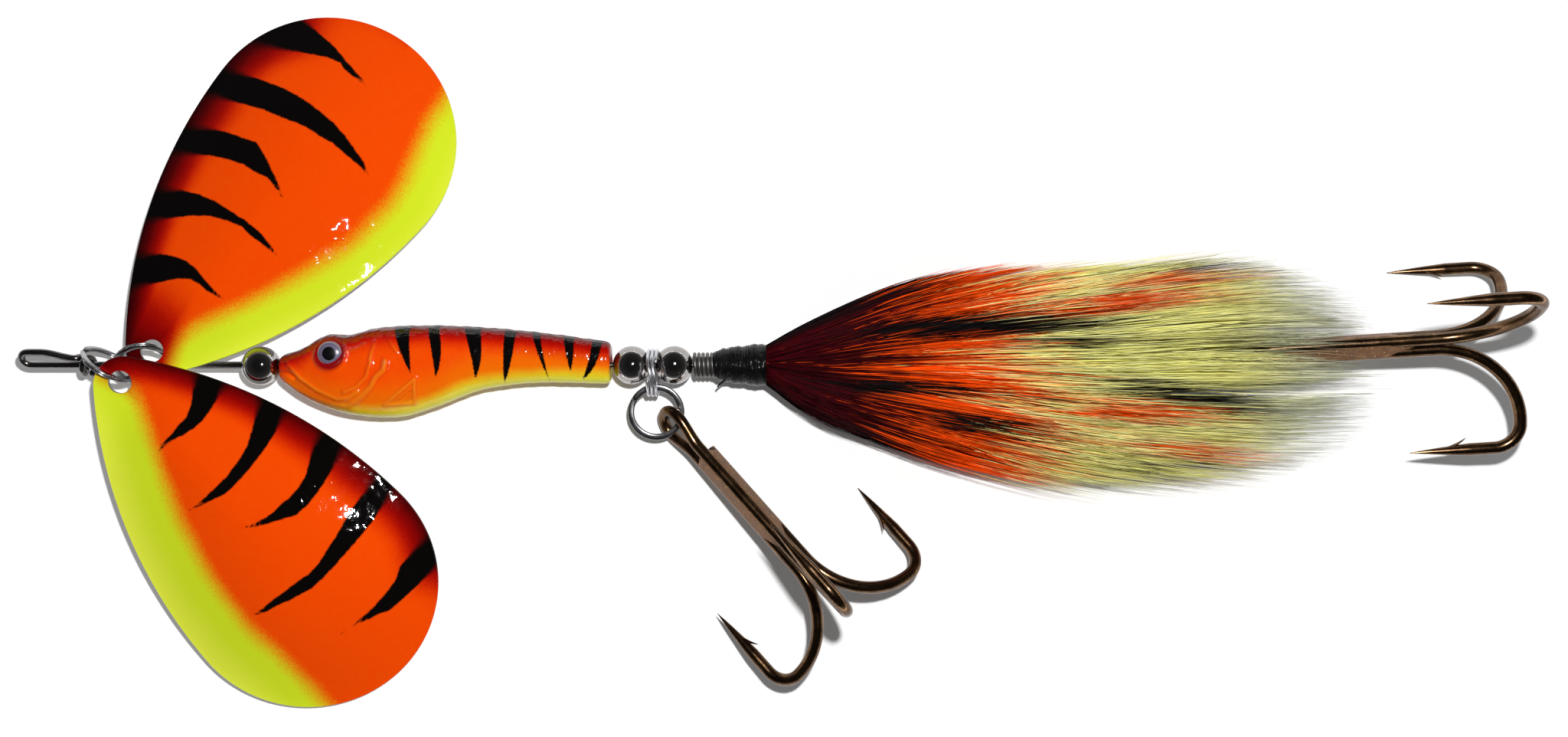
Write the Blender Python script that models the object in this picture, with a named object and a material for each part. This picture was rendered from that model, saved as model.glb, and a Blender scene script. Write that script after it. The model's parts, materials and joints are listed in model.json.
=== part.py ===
"""An inline spinner for big predatory fish, lying flat on a table.

A straight wire carries, from front to back: a line-tie eye, two cupped blades on split rings, a bead,
a moulded minnow that turns on the wire, two more beads with a hanger ring between them for the belly
treble hook, and a hair tail tied on a tube. A second treble hook hangs in the wire's rear loop.

Frame: +X along the wire from the line tie to the tail, +Z up, z = 0 on the table, metres.
"""

import math

import bmesh
import bpy
import numpy as np
from mathutils import Matrix, Vector

MM = 0.001

# The wire is drawn from the middle of its own view; this puts the row's origin under the middle of the whole
CENTRE_SHIFT = 3.45 * MM

# Wire
WIRE_DIAMETER = 1.1 * MM
WIRE_HEIGHT = 4.75 * MM
WIRE_FRONT = -119.05 * MM
WIRE_BEND = -3.0 * MM
WIRE_REAR = (69.0 * MM, 1.83 * MM, 5.78 * MM)
WIRE_BORE = 1.7 * MM
FRONT_EYE_LENGTH = 8.6 * MM
FRONT_EYE_WIDTH = 2.45 * MM
FRONT_EYE_ROLL = math.radians(36)
REAR_EYE_LENGTH = 8.0 * MM
REAR_EYE_WIDTH = 3.9 * MM
REAR_EYE_ROLL = math.radians(107.5)
WRAP_TURNS = 1.6
WRAP_PITCH = 1.4 * MM
WRAP_RADIUS = 1.25 * MM

# Blades
BLADE_LENGTH = 66.2 * MM
BLADE_ROOT_RADIUS = 4.6 * MM
BLADE_SIDE_RADIUS = 75.0 * MM
BLADE_END_RADIUS = 20.2 * MM
BLADE_CUP = 4.4 * MM
BLADE_CUP_FULLNESS = 1.25
BLADE_SHEET = 0.7 * MM
BLADE_HOLE_DIAMETER = 3.5 * MM
BLADE_HOLE_INSET = 3.8 * MM
BLADE_DOME_CENTRE = 42.0 * MM
BLADE_TAB_START = 2.0 * MM
BLADE_TAB_END = 16.0 * MM
UPPER_BLADE_HOLE = (-98.2 * MM, 2.15 * MM)
UPPER_BLADE_YAW = math.radians(51.8)
UPPER_BLADE_TILT = math.radians(5.6)
LOWER_BLADE_HOLE = (-102.4 * MM, -2.56 * MM)
LOWER_BLADE_YAW = math.radians(-49.2)
LOWER_BLADE_TILT = math.radians(7.26)
FLOOR_CLEARANCE = 0.02 * MM

# Split rings
BLADE_RING_RADIUS = 3.9 * MM
BLADE_RING_WIRE = 0.92 * MM
UPPER_RING_CENTRE = (-100.43 * MM, 0.071 * MM, 4.944 * MM)
UPPER_RING_NORMAL = (-0.318, 0.673, -0.668)
LOWER_RING_CENTRE = (-105.13 * MM, 0.147 * MM, 6.505 * MM)
LOWER_RING_NORMAL = (0.581, 0.792, 0.188)
HANGER_RADIUS = 3.45 * MM
HANGER_COIL = 0.64 * MM
HANGER_X = -20.45 * MM
HANGER_DROP = 1.2 * MM
BELLY_RING_RADIUS = 3.95 * MM
BELLY_RING_WIRE = 0.96 * MM
BELLY_RING_CENTRE = (-20.0 * MM, -7.4 * MM, 4.2 * MM)
BELLY_RING_DIP = math.radians(7.9)
SPLIT_GAP = 0.3 * MM
COIL_SHARE = 0.37

# Beads
BEAD_DIAMETER = 6.1 * MM
BEAD_BORE = 1.8 * MM
FRONT_BEAD = (-81.85 * MM, -0.1 * MM)
MIDDLE_BEAD = (-23.75 * MM, 0.0)
REAR_BEAD = (-17.15 * MM, 0.0)

# Minnow: back and belly lines and half thickness along its length, measured from the nose
MINNOW_NOSE = -78.65 * MM
MINNOW_LENGTH = 51.6 * MM
MINNOW_BACK = (
    (0, 1.4), (3, 2.4), (7.5, 4.7), (10.5, 4.6), (14, 5.5), (22, 6.1), (30, 5.9), (43, 4.7), (51.6, 3.5),
)
MINNOW_BELLY = (
    (0, -2.4), (3, -4.6), (8, -6.9), (15, -8.1), (19, -8.0), (25, -6.2), (31, -3.9), (37, -2.9), (51.6, -2.8),
)
MINNOW_FLANK = ((0, 1.9), (3, 3.0), (9, 4.4), (16, 4.7), (25, 4.2), (34, 3.4), (51.6, 2.6))
MINNOW_ROUNDNESS = 2.3
EYE_FROM_NOSE = 8.7 * MM
EYE_ABOVE_WIRE = 1.75 * MM
EYE_DIAMETER = 3.9 * MM
EYE_DEPTH = 0.7 * MM
EYE_CROWN = 0.6 * MM
EYE_PLAY = 0.25 * MM

# Treble hooks
HOOK_WIRE = 1.9 * MM
HOOK_LENGTH = 45.5 * MM
SHANK_OFFSET = 1.22 * MM
HOOK_EYE_HALF_WIDTH = 2.5 * MM
HOOK_EYE_NECK = 9.0 * MM
THIRD_SHANK_START = 10.0 * MM
WIDE_BEND_RADIUS = 11.8 * MM
WIDE_BEND_TURN = math.radians(92)
TIGHT_BEND_RADIUS = 3.7 * MM
POINT_LEAN = math.radians(-0.9)
POINT_LENGTH = 12.1 * MM
POINT_TAPER = 8.5 * MM
BARB_FROM_TIP = 7.6 * MM
BARB_LIFT = 1.15 * MM
TIP_RADIUS = 0.07 * MM
BELLY_RING_IN_EYE = 3.9 * MM
TAIL_WIRE_IN_EYE = 2.8 * MM
BELLY_RING_CONTACT = math.radians(-38)
BELLY_HOOK_YAW = math.radians(-47.15)
BELLY_HOOK_RISE = math.radians(15.2)
BELLY_HOOK_ROLL = math.radians(6)
TAIL_HOOK_YAW = math.radians(3.65)
TAIL_HOOK_RISE = math.radians(12.2)
TAIL_HOOK_ROLL = math.radians(18.8)

# Tail tube, lock coil and thread
TUBE_DIAMETER = 2.5 * MM
TUBE_FRONT = -13.6 * MM
TUBE_REAR = -0.8 * MM
COIL_FRONT = -13.3 * MM
COIL_PITCH = 1.02 * MM
COIL_LOOPS = 2.4
COIL_WIRE = 0.55 * MM
COIL_RADIUS = 1.84 * MM
COIL_POINTS = 24
THREAD_PROFILE = ((-10.2, 2.0), (-9.6, 2.35), (-7.5, 2.7), (-5.0, 3.25), (-3.4, 3.45), (-3.0, 3.3))

# Hair: three tied layers, each a ring of strands fused to a slice round the tube
HAIR_SLICE_FRONT = -2.6 * MM
HAIR_ROOT = -1.5 * MM
HAIR_ROOT_RADIUS = 3.4 * MM
HAIR_COLUMNS = 50
HAIR_STATIONS = (-1.5, 11, 28, 46, 66, 92)
HAIR_HALF_WIDTH = (3.4, 10.2, 16.2, 17.6, 17.6, 9.5)
HAIR_HALF_HEIGHT = (3.4, 4.6, 5.6, 5.8, 5.8, 4.6)
HAIR_SIDE_SHIFT = (0, -0.9, -0.8, -1.6, -0.6, -0.4)
HAIR_MIDDLE_HEIGHT = (4.75, 5.3, 6.1, 6.3, 6.4, 6.6)
STRAND_SHARE = (0.62, 0.6, 0.52, 0.46, 0.44, 0.3)
STRAND_CLEARANCE = 0.9 * MM
HAIR_SEED = 11

ROUND = 2 * math.pi


def clear_scene():
    """Remove every object of the open scene."""
    for existing in list(bpy.data.objects):
        bpy.data.objects.remove(existing, do_unlink=True)


def finish(name, colour, roughness, metallic=0.0):
    """A Principled material."""
    material = bpy.data.materials.new(name)
    material.use_nodes = True
    shader = material.node_tree.nodes["Principled BSDF"]
    shader.inputs["Base Color"].default_value = (*colour, 1.0)
    shader.inputs["Roughness"].default_value = roughness
    shader.inputs["Metallic"].default_value = metallic
    return material


def add_piece(name, shape, material, origin=(0, 0, 0)):
    """Turn a bmesh built in world space into an object whose origin is at the given point."""
    bmesh.ops.recalc_face_normals(shape, faces=shape.faces[:])
    bmesh.ops.translate(shape, verts=shape.verts[:], vec=-Vector(origin))
    mesh = bpy.data.meshes.new(name)
    shape.to_mesh(mesh)
    shape.free()
    mesh.shade_smooth()
    mesh.set_sharp_from_angle(angle=math.radians(50))
    mesh.materials.append(material)
    piece = bpy.data.objects.new(name, mesh)
    piece.location = origin
    bpy.context.scene.collection.objects.link(piece)
    return piece


def add_cutter(name, shape, target):
    """Subtract a bmesh from a piece with a Boolean; the cutter itself is a hidden guide."""
    cutter = add_piece(name, shape, target.data.materials[0])
    cutter.hide_render = True
    cutter.display_type = "WIRE"
    cut = target.modifiers.new(name, "BOOLEAN")
    cut.operation = "DIFFERENCE"
    cut.solver = "EXACT"
    cut.object = cutter


def unit(vector):
    """A vector of length one."""
    return np.asarray(vector, float) / np.linalg.norm(vector)


def curve_through(knots, x):
    """Smooth curve through a few (x, y) knots: cubic pieces with the mean slope at each knot."""
    kx, ky = np.array(knots, float).T
    slope = np.gradient(ky, kx)
    i = np.clip(np.searchsorted(kx, x) - 1, 0, len(kx) - 2)
    width = kx[i + 1] - kx[i]
    t = (x - kx[i]) / width
    start = ky[i] * (1 + 2 * t) * (1 - t) ** 2 + slope[i] * width * t * (1 - t) ** 2
    end = ky[i + 1] * t**2 * (3 - 2 * t) - slope[i + 1] * width * t**2 * (1 - t)
    return start + end


def smooth_step(t):
    """Rise from 0 to 1 with level ends."""
    t = np.clip(t, 0, 1)
    return t * t * (3 - 2 * t)


def tube(points, radii, lifts=None, sides=8):
    """Round wire along a path; a lift pushes the side that faces it outwards, which makes a barb."""
    points = np.asarray(points, float)
    tangents = np.gradient(points, axis=0)
    tangents /= np.linalg.norm(tangents, axis=1)[:, None]
    side = np.cross(tangents[0], (0.31, 0.52, 0.79))
    shape = bmesh.new()
    rings = []
    for k, (centre, along) in enumerate(zip(points, tangents)):
        side = unit(side - along * (side @ along))
        third = np.cross(along, side)
        ring = []
        for j in range(sides):
            turn = ROUND * j / sides
            out = math.cos(turn) * side + math.sin(turn) * third
            reach = out * radii[k]
            if lifts is not None and np.any(lifts[k]):
                reach = reach + lifts[k] * max(0.0, out @ unit(lifts[k])) ** 3
            ring.append(shape.verts.new(centre + reach))
        rings.append(ring)
    for first, second in zip(rings, rings[1:]):
        for j in range(sides):
            following = (j + 1) % sides
            shape.faces.new((first[j], first[following], second[following], second[j]))
    shape.faces.new(rings[0])
    shape.faces.new(rings[-1])
    return shape


def turned(profile, centre, axis, steps):
    """Spin a closed profile of (along, out) pairs a full turn about an axis through a point."""
    axis = Vector(unit(axis))
    out = axis.orthogonal().normalized()
    shape = bmesh.new()
    loop = [shape.verts.new(Vector(centre) + axis * a + out * r) for a, r in profile]
    edges = [shape.edges.new((loop[i - 1], loop[i])) for i in range(len(loop))]
    bmesh.ops.spin(
        shape,
        geom=loop + edges,
        cent=centre,
        axis=axis,
        angle=ROUND,
        steps=steps,
        use_merge=True,
    )
    return shape


def block(centre, frame, size):
    """A box of the given size, turned by a 3 by 3 frame."""
    shape = bmesh.new()
    bmesh.ops.create_cube(shape, size=1.0)
    place = Matrix.Translation(centre) @ frame.to_4x4() @ Matrix.Diagonal((*size, 1.0))
    bmesh.ops.transform(shape, matrix=place, verts=shape.verts[:])
    return shape


def rod(start, end, radius, sides):
    """A plain cylinder between two points, used as a cutter."""
    return tube([start, end], [radius, radius], sides=sides)


def eye_path(width, length, roll, turned_back):
    """Wire eye at one end of the shaft, in a frame whose x axis points away from the shaft.

    One strand of the eye stays on the shaft's axis. The other comes back beside it and wraps round the
    shaft behind the eye. Points run from the tag end of the wrap to the shaft.
    """
    across = np.array((0.0, math.cos(roll), math.sin(roll)))
    upright = np.array((0.0, -math.sin(roll), math.cos(roll)))
    ahead = np.array((1.0, 0.0, 0.0))
    wrap_angles = np.linspace(-ROUND * WRAP_TURNS, 0, int(14 * WRAP_TURNS))
    wrap = [
        ahead * (WRAP_PITCH * (a / ROUND)) + WRAP_RADIUS * (math.cos(a) * across + math.sin(a) * upright)
        for a in wrap_angles
    ]
    lead = [
        ahead * (length * t) + across * (WRAP_RADIUS + (width - WRAP_RADIUS) * float(smooth_step(t * 1.6)))
        for t in (0.14, 0.3, 0.48, 0.7)
    ]
    middle = width / 2
    bend = [
        ahead * (length - middle + middle * math.sin(a)) + across * (middle + middle * math.cos(a))
        for a in np.linspace(0, math.pi, 11)
    ]
    back = [ahead * (-turned_back)]
    return np.array(wrap + lead + bend + back)


def shaft_path():
    """Centre line of the whole wire: front wrap and eye, the straight shaft, rear eye and wrap.

    Behind the tied hair the wire rises a little, because the hair lifts the tail end off the table.
    """
    axis = np.array((0.0, 0.0, WIRE_HEIGHT))
    front = eye_path(FRONT_EYE_WIDTH, FRONT_EYE_LENGTH, FRONT_EYE_ROLL, 3 * MM)
    front[:, 0] *= -1
    front += axis + np.array((WIRE_FRONT + FRONT_EYE_LENGTH, 0, 0))
    return np.concatenate([front, [axis + (WIRE_BEND, 0, 0)], rear_eye_path()[::-1]])


def rear_eye_path():
    """Centre line of the rear eye and its wrap."""
    rear = eye_path(REAR_EYE_WIDTH, REAR_EYE_LENGTH, REAR_EYE_ROLL, 4 * MM)
    return rear + np.array(WIRE_REAR) - (REAR_EYE_LENGTH, 0, 0)


def make_shaft(steel):
    """The wire with an eye at each end."""
    path = shaft_path()
    radii = np.full(len(path), WIRE_DIAMETER / 2)
    add_piece("shaft_wire", tube(path, radii), steel)


def blade_arcs():
    """Side arc of the blade outline: its centre, and where it meets the root arc and the end arc."""
    root, end = BLADE_ROOT_RADIUS, BLADE_LENGTH - BLADE_END_RADIUS
    spread = (BLADE_END_RADIUS - root) * (2 * BLADE_SIDE_RADIUS - root - BLADE_END_RADIUS)
    along = (spread / (end - root) + root + end) / 2
    below = math.sqrt((BLADE_SIDE_RADIUS - root) ** 2 - (along - root) ** 2)
    return along, below, end


def blade_outline():
    """Blade edge from the root tip round the far end and back: root arc, side arc, end arc, mirrored."""
    along, below, end = blade_arcs()
    root_turn = math.atan2(below, BLADE_ROOT_RADIUS - along)
    end_turn = math.atan2(below, end - along)
    half = []
    for a in np.linspace(math.pi, root_turn, 5)[:-1]:
        half.append((BLADE_ROOT_RADIUS * (1 + math.cos(a)), BLADE_ROOT_RADIUS * math.sin(a)))
    for a in np.linspace(root_turn, end_turn, 9)[:-1]:
        half.append((along + BLADE_SIDE_RADIUS * math.cos(a), BLADE_SIDE_RADIUS * math.sin(a) - below))
    for a in np.linspace(end_turn, 0, 10):
        half.append((end + BLADE_END_RADIUS * math.cos(a), BLADE_END_RADIUS * math.sin(a)))
    other = [(s, -w) for s, w in half[-2:0:-1]]
    return np.array(half + other)


def blade_height(along, share):
    """Height of the cupped sheet over its rim plane; the root tab stays flat round the hole."""
    tab = smooth_step((along - BLADE_TAB_START) / (BLADE_TAB_END - BLADE_TAB_START))
    return BLADE_CUP * (1 - share**2) ** BLADE_CUP_FULLNESS * tab


def blade_frame(hole, yaw, tilt):
    """Place of a blade: origin at its hole, x to the far end, which dips to the table."""
    height = (BLADE_LENGTH - BLADE_HOLE_INSET) * math.sin(tilt) + FLOOR_CLEARANCE
    turn = Matrix.Rotation(yaw, 4, "Z") @ Matrix.Rotation(tilt, 4, "Y")
    return Matrix.Translation((*hole, height)) @ turn


def make_blade(name, hole, yaw, tilt, paint):
    """A cupped teardrop of sheet metal with a hole in its root tab."""
    outline = blade_outline()
    centre = np.array((BLADE_DOME_CENTRE, 0.0))
    shape = bmesh.new()
    rows = []
    for share in (0.32, 0.58, 0.78, 0.91, 1.0):
        edge = centre + share * (outline - centre)
        heights = blade_height(edge[:, 0], share) + BLADE_SHEET / 2
        rows.append([shape.verts.new((s - BLADE_HOLE_INSET, w, h)) for (s, w), h in zip(edge, heights)])
    top = float(blade_height(BLADE_DOME_CENTRE, 0.0)) + BLADE_SHEET / 2
    crown = shape.verts.new((BLADE_DOME_CENTRE - BLADE_HOLE_INSET, 0, top))
    count = len(outline)
    for i in range(count):
        j = (i + 1) % count
        shape.faces.new((crown, rows[0][j], rows[0][i]))
        for inner, outer in zip(rows, rows[1:]):
            shape.faces.new((inner[i], inner[j], outer[j], outer[i]))
    blade = add_piece(name, shape, paint)
    thickness = blade.modifiers.new("sheet", "SOLIDIFY")
    thickness.thickness = BLADE_SHEET
    thickness.offset = 0
    hole_cut = rod((0, 0, -3 * MM), (0, 0, 4 * MM), BLADE_HOLE_DIAMETER / 2, 20)
    add_cutter(name + "_hole", hole_cut, blade)
    place = blade_frame(hole, yaw, tilt)
    blade.matrix_world = place
    bpy.data.objects[name + "_hole"].matrix_world = place


def ring_profile(radius, wide, coils, coil):
    """Section of a split ring: flat coils side by side, each swollen outwards and inwards."""
    outer, inner = [], []
    for k in range(coils):
        middle = (k - (coils - 1) / 2) * coil
        for a in (-55, 55):
            swell = wide / 2 * math.cos(math.radians(a) * 0.6)
            along = middle + coil / 2 * math.sin(math.radians(a))
            outer.append((along, radius + swell))
            inner.append((along, radius - swell))
    half = coils * coil / 2
    return [(-half, radius)] + outer + [(half, radius)] + inner[::-1]


def make_split_ring(name, centre, normal, radius, wide, coils, coil, split_at, steel, origin):
    """A wound ring with the end of its top coil showing as a small gap."""
    profile = ring_profile(radius, wide, coils, coil)
    ring = add_piece(name, turned(profile, centre, normal, 28), steel, origin)
    axis = Vector(unit(normal))
    towards = Vector(split_at) - Vector(centre)
    out = (towards - axis * (towards @ axis)).normalized()
    frame = Matrix((out, axis.cross(out), axis)).transposed()
    top = Vector(centre) + out * radius + axis * (coil * coils / 2)
    add_cutter(name + "_split", block(top, frame, (2.2 * wide, SPLIT_GAP, 1.3 * coil)), ring)


def make_bead(name, place, chrome):
    """A drilled ball, loose on the wire."""
    radius, bore = BEAD_DIAMETER / 2, BEAD_BORE / 2
    first = math.asin(bore / radius)
    arc = [(-radius * math.cos(a), radius * math.sin(a)) for a in np.linspace(first, math.pi - first, 10)]
    centre = (*place, WIRE_HEIGHT)
    add_piece(name, turned(arc, centre, (1, 0, 0), 18), chrome, centre)


def minnow_section(from_nose):
    """Middle height, half height and half thickness of the minnow at a distance from its nose."""
    x = from_nose / MM
    back = curve_through(MINNOW_BACK, x) * MM
    belly = curve_through(MINNOW_BELLY, x) * MM
    flank = curve_through(MINNOW_FLANK, x) * MM
    return (back + belly) / 2, (back - belly) / 2, flank


def minnow_flank_height(from_nose, above_wire):
    """How far the flank stands from the minnow's middle plane at a point of its side view."""
    middle, half, flank = minnow_section(np.array(from_nose))
    share = abs((above_wire - middle) / half)
    return float(flank * (1 - share**MINNOW_ROUNDNESS) ** (1 / MINNOW_ROUNDNESS))


def make_minnow(paint, eye_paint):
    """The moulded body, bored for the wire, with a socket and an eye on each side."""
    stations = np.concatenate([[0, 1.2, 3], np.linspace(5.5, 51.6, 20)]) * MM
    turns = np.linspace(0, ROUND, 24, endpoint=False)
    rounded = 2 / MINNOW_ROUNDNESS
    upright = np.sign(np.cos(turns)) * np.abs(np.cos(turns)) ** rounded
    sideways = np.sign(np.sin(turns)) * np.abs(np.sin(turns)) ** rounded
    shape = bmesh.new()
    loops = []
    for station in stations:
        middle, half, flank = minnow_section(station)
        loop = [
            shape.verts.new((MINNOW_NOSE + station, middle + half * u, WIRE_HEIGHT + flank * s))
            for u, s in zip(upright, sideways)
        ]
        loops.append(loop)
    for first, second in zip(loops, loops[1:]):
        for j in range(len(turns)):
            k = (j + 1) % len(turns)
            shape.faces.new((first[j], first[k], second[k], second[j]))
    shape.faces.new(loops[0])
    shape.faces.new(loops[-1])
    origin = (MINNOW_NOSE, 0, WIRE_HEIGHT)
    minnow = add_piece("minnow_body", shape, paint, origin)
    reach = MINNOW_NOSE + MINNOW_LENGTH
    start, end = (MINNOW_NOSE - 2 * MM, 0, WIRE_HEIGHT), (reach + 2 * MM, 0, WIRE_HEIGHT)
    add_cutter("minnow_bore", rod(start, end, WIRE_BORE / 2, 16), minnow)
    flank = minnow_flank_height(EYE_FROM_NOSE, EYE_ABOVE_WIRE)
    spot = (MINNOW_NOSE + EYE_FROM_NOSE, EYE_ABOVE_WIRE, WIRE_HEIGHT)
    radius = EYE_DIAMETER / 2
    seat, crown = flank - EYE_DEPTH, flank + EYE_CROWN
    profile = [
        (seat, radius),
        (seat + 0.45 * EYE_DEPTH, radius),
        (flank - 0.1 * MM, radius * 0.97),
        (flank + 0.6 * EYE_CROWN, radius * 0.7),
        (crown, radius * 0.3),
    ]
    for name, side in (("near_eye", 1), ("far_eye", -1)):
        axis = (0, 0, side)
        eye = turned_solid(profile, spot, axis, 16)
        add_piece(name, eye, eye_paint, origin)
        low = Vector(spot) + Vector(axis) * (seat - EYE_PLAY)
        high = Vector(spot) + Vector(axis) * (flank + 3 * MM)
        add_cutter(name + "_socket", rod(low, high, radius + EYE_PLAY, 20), minnow)


def turned_solid(profile, centre, axis, steps):
    """Spin an open profile of (along, out) pairs, and close its two flat ends."""
    axis = Vector(unit(axis))
    out = axis.orthogonal().normalized()
    shape = bmesh.new()
    line = [shape.verts.new(Vector(centre) + axis * a + out * r) for a, r in profile]
    edges = [shape.edges.new(pair) for pair in zip(line, line[1:])]
    bmesh.ops.spin(
        shape,
        geom=line + edges,
        cent=centre,
        axis=axis,
        angle=ROUND,
        steps=steps,
        use_merge=True,
    )
    bmesh.ops.holes_fill(shape, edges=shape.edges[:], sides=steps)
    return shape


def hook_line():
    """Centre line of one hook in its own plane as (along, out), with its radius and barb lift.

    The shank runs straight, opens through a wide bend and a tight one, and ends in a straight point.
    """
    reach = WIDE_BEND_RADIUS * math.sin(WIDE_BEND_TURN) + TIGHT_BEND_RADIUS * (1 - math.sin(WIDE_BEND_TURN))
    begin = HOOK_LENGTH - HOOK_WIRE / 2 - reach
    line = []
    for turn in np.linspace(0, WIDE_BEND_TURN, 7):
        out = SHANK_OFFSET + WIDE_BEND_RADIUS * (1 - math.cos(turn))
        line.append((begin + WIDE_BEND_RADIUS * math.sin(turn), out, HOOK_WIRE / 2, 0.0))
    along, out = line[-1][:2]
    for turn in np.linspace(WIDE_BEND_TURN, math.pi + POINT_LEAN, 8)[1:]:
        s = along + TIGHT_BEND_RADIUS * (math.sin(turn) - math.sin(WIDE_BEND_TURN))
        r = out + TIGHT_BEND_RADIUS * (math.cos(WIDE_BEND_TURN) - math.cos(turn))
        line.append((s, r, HOOK_WIRE / 2, 0.0))
    along, out = line[-1][:2]
    barb_back = BARB_FROM_TIP + 0.25 * MM
    for left in (9.8 * MM, barb_back, BARB_FROM_TIP, 5.2 * MM, 3.2 * MM, 1.4 * MM, 0.0):
        gone = POINT_LENGTH - left
        radius = max(TIP_RADIUS, HOOK_WIRE / 2 * min(1.0, (left / POINT_TAPER) ** 0.8))
        rise = BARB_LIFT * float(np.interp(left, (2.0 * MM, BARB_FROM_TIP, barb_back), (0, 1, 0)))
        line.append((along - gone * math.cos(POINT_LEAN), out - gone * math.sin(POINT_LEAN), radius, rise))
    return np.array(line)


def treble_frame(yaw, rise):
    """Axis of a treble hook from its eye to its bends, with the upright and sideways directions."""
    axis = np.array((math.cos(rise) * math.cos(yaw), math.cos(rise) * math.sin(yaw), math.sin(rise)))
    upright = unit(np.array((0, 0, 1.0)) - axis * axis[2])
    return axis, upright, np.cross(upright, axis)


def hook_directions(roll, upright, sideways):
    """Outward directions of the three hooks: the paired two, then the third."""
    turns = (roll, roll + ROUND * 2 / 3, roll + ROUND / 3)
    return [math.cos(t) * upright + math.sin(t) * sideways for t in turns]


def treble_lines(frame, roll, in_eye=0.0):
    """Paths, radii and barb lifts of the paired hooks (one wire with the eye) and of the third hook."""
    axis, upright, sideways = frame
    first, second, third = hook_directions(roll, upright, sideways)
    profile = hook_line()

    def placed(direction):
        points = profile[:, :1] * axis + profile[:, 1:2] * direction
        return points, profile[:, 2], -profile[:, 3:4] * direction

    a_points, radii, a_lifts = placed(first)
    b_points, _, b_lifts = placed(second)
    middle = SHANK_OFFSET * (first + second) / 2
    across = unit(first - second)
    spread = SHANK_OFFSET * np.linalg.norm(first - second) / 2
    wide, centre = HOOK_EYE_HALF_WIDTH, HOOK_EYE_HALF_WIDTH + HOOK_WIRE / 2
    neck = [
        (s, spread + (wide - spread) * float(smooth_step((HOOK_EYE_NECK - s) / (HOOK_EYE_NECK - centre))))
        for s in np.linspace(HOOK_EYE_NECK, centre, 5)
    ]
    loop = [(centre - wide * math.sin(t), wide * math.cos(t)) for t in np.linspace(0, math.pi, 9)[1:-1]]
    eye = neck + loop + [(s, -q) for s, q in neck[::-1]]
    eye_points = np.array([s * axis + middle + q * across for s, q in eye])
    plain = np.zeros_like(eye_points)
    pair = np.concatenate([a_points[::-1], eye_points, b_points])
    pair_radii = np.concatenate([radii[::-1], np.full(len(eye), HOOK_WIRE / 2), radii])
    pair_lifts = np.concatenate([a_lifts[::-1], plain, b_lifts])
    c_points, _, c_lifts = placed(third)
    start = THIRD_SHANK_START * axis + SHANK_OFFSET * third
    single = np.concatenate([[start], c_points])
    single_radii = np.concatenate([[HOOK_WIRE / 2], radii])
    single_lifts = np.concatenate([[np.zeros(3)], c_lifts])
    grip = in_eye * axis + middle
    return (pair, pair_radii, pair_lifts), (single, single_radii, single_lifts), grip


def treble_origin(frame, roll, hung_on, in_eye):
    """Where the treble's eye top lies when the eye hangs on a given point of a ring or wire."""
    grip = treble_lines(frame, roll, in_eye)[2]
    return np.asarray(hung_on) - grip


def belly_ring_contact():
    """Point of the belly ring that the belly hook's eye hangs on."""
    turn, dip = BELLY_RING_CONTACT, BELLY_RING_DIP
    out = np.array((math.cos(turn), math.sin(turn) * math.cos(dip), math.sin(turn) * math.sin(dip)))
    return np.array(BELLY_RING_CENTRE) + out * BELLY_RING_RADIUS


def rear_eye_contact():
    """Middle of the rear eye's end wire, which the tail hook hangs on."""
    middle = REAR_EYE_WIDTH / 2
    across = np.array((0, math.cos(REAR_EYE_ROLL), math.sin(REAR_EYE_ROLL)))
    return np.array(WIRE_REAR) + across * middle


def make_treble(name, frame, roll, hung_on, in_eye, bronze, origin):
    """A treble hook: one wire bent into two hooks and the eye, and a third hook brazed beside them."""
    pair, single, _ = treble_lines(frame, roll)
    start = treble_origin(frame, roll, hung_on, in_eye)
    add_piece(name + "_pair", tube(pair[0] + start, pair[1], pair[2]), bronze, origin)
    add_piece(name + "_third", tube(single[0] + start, single[1], single[2]), bronze, origin)


def make_tail_tube(plastic, thread):
    """The tube on the wire that the tail is tied to, and the tapered winding of black thread."""
    bore, outer = WIRE_BORE / 2, TUBE_DIAMETER / 2
    centre = (0, 0, WIRE_HEIGHT)
    wall = [(TUBE_FRONT, bore), (TUBE_FRONT, outer), (TUBE_REAR, outer), (TUBE_REAR, bore)]
    add_piece("tail_tube", turned(wall, centre, (1, 0, 0), 16), plastic)
    inside = outer + 0.2 * MM
    bulge = [(x * MM, r * MM) for x, r in THREAD_PROFILE]
    profile = [(bulge[0][0], inside)] + bulge + [(bulge[-1][0], inside)]
    add_piece("thread_winding", turned(profile, centre, (1, 0, 0), 24), thread)


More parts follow.
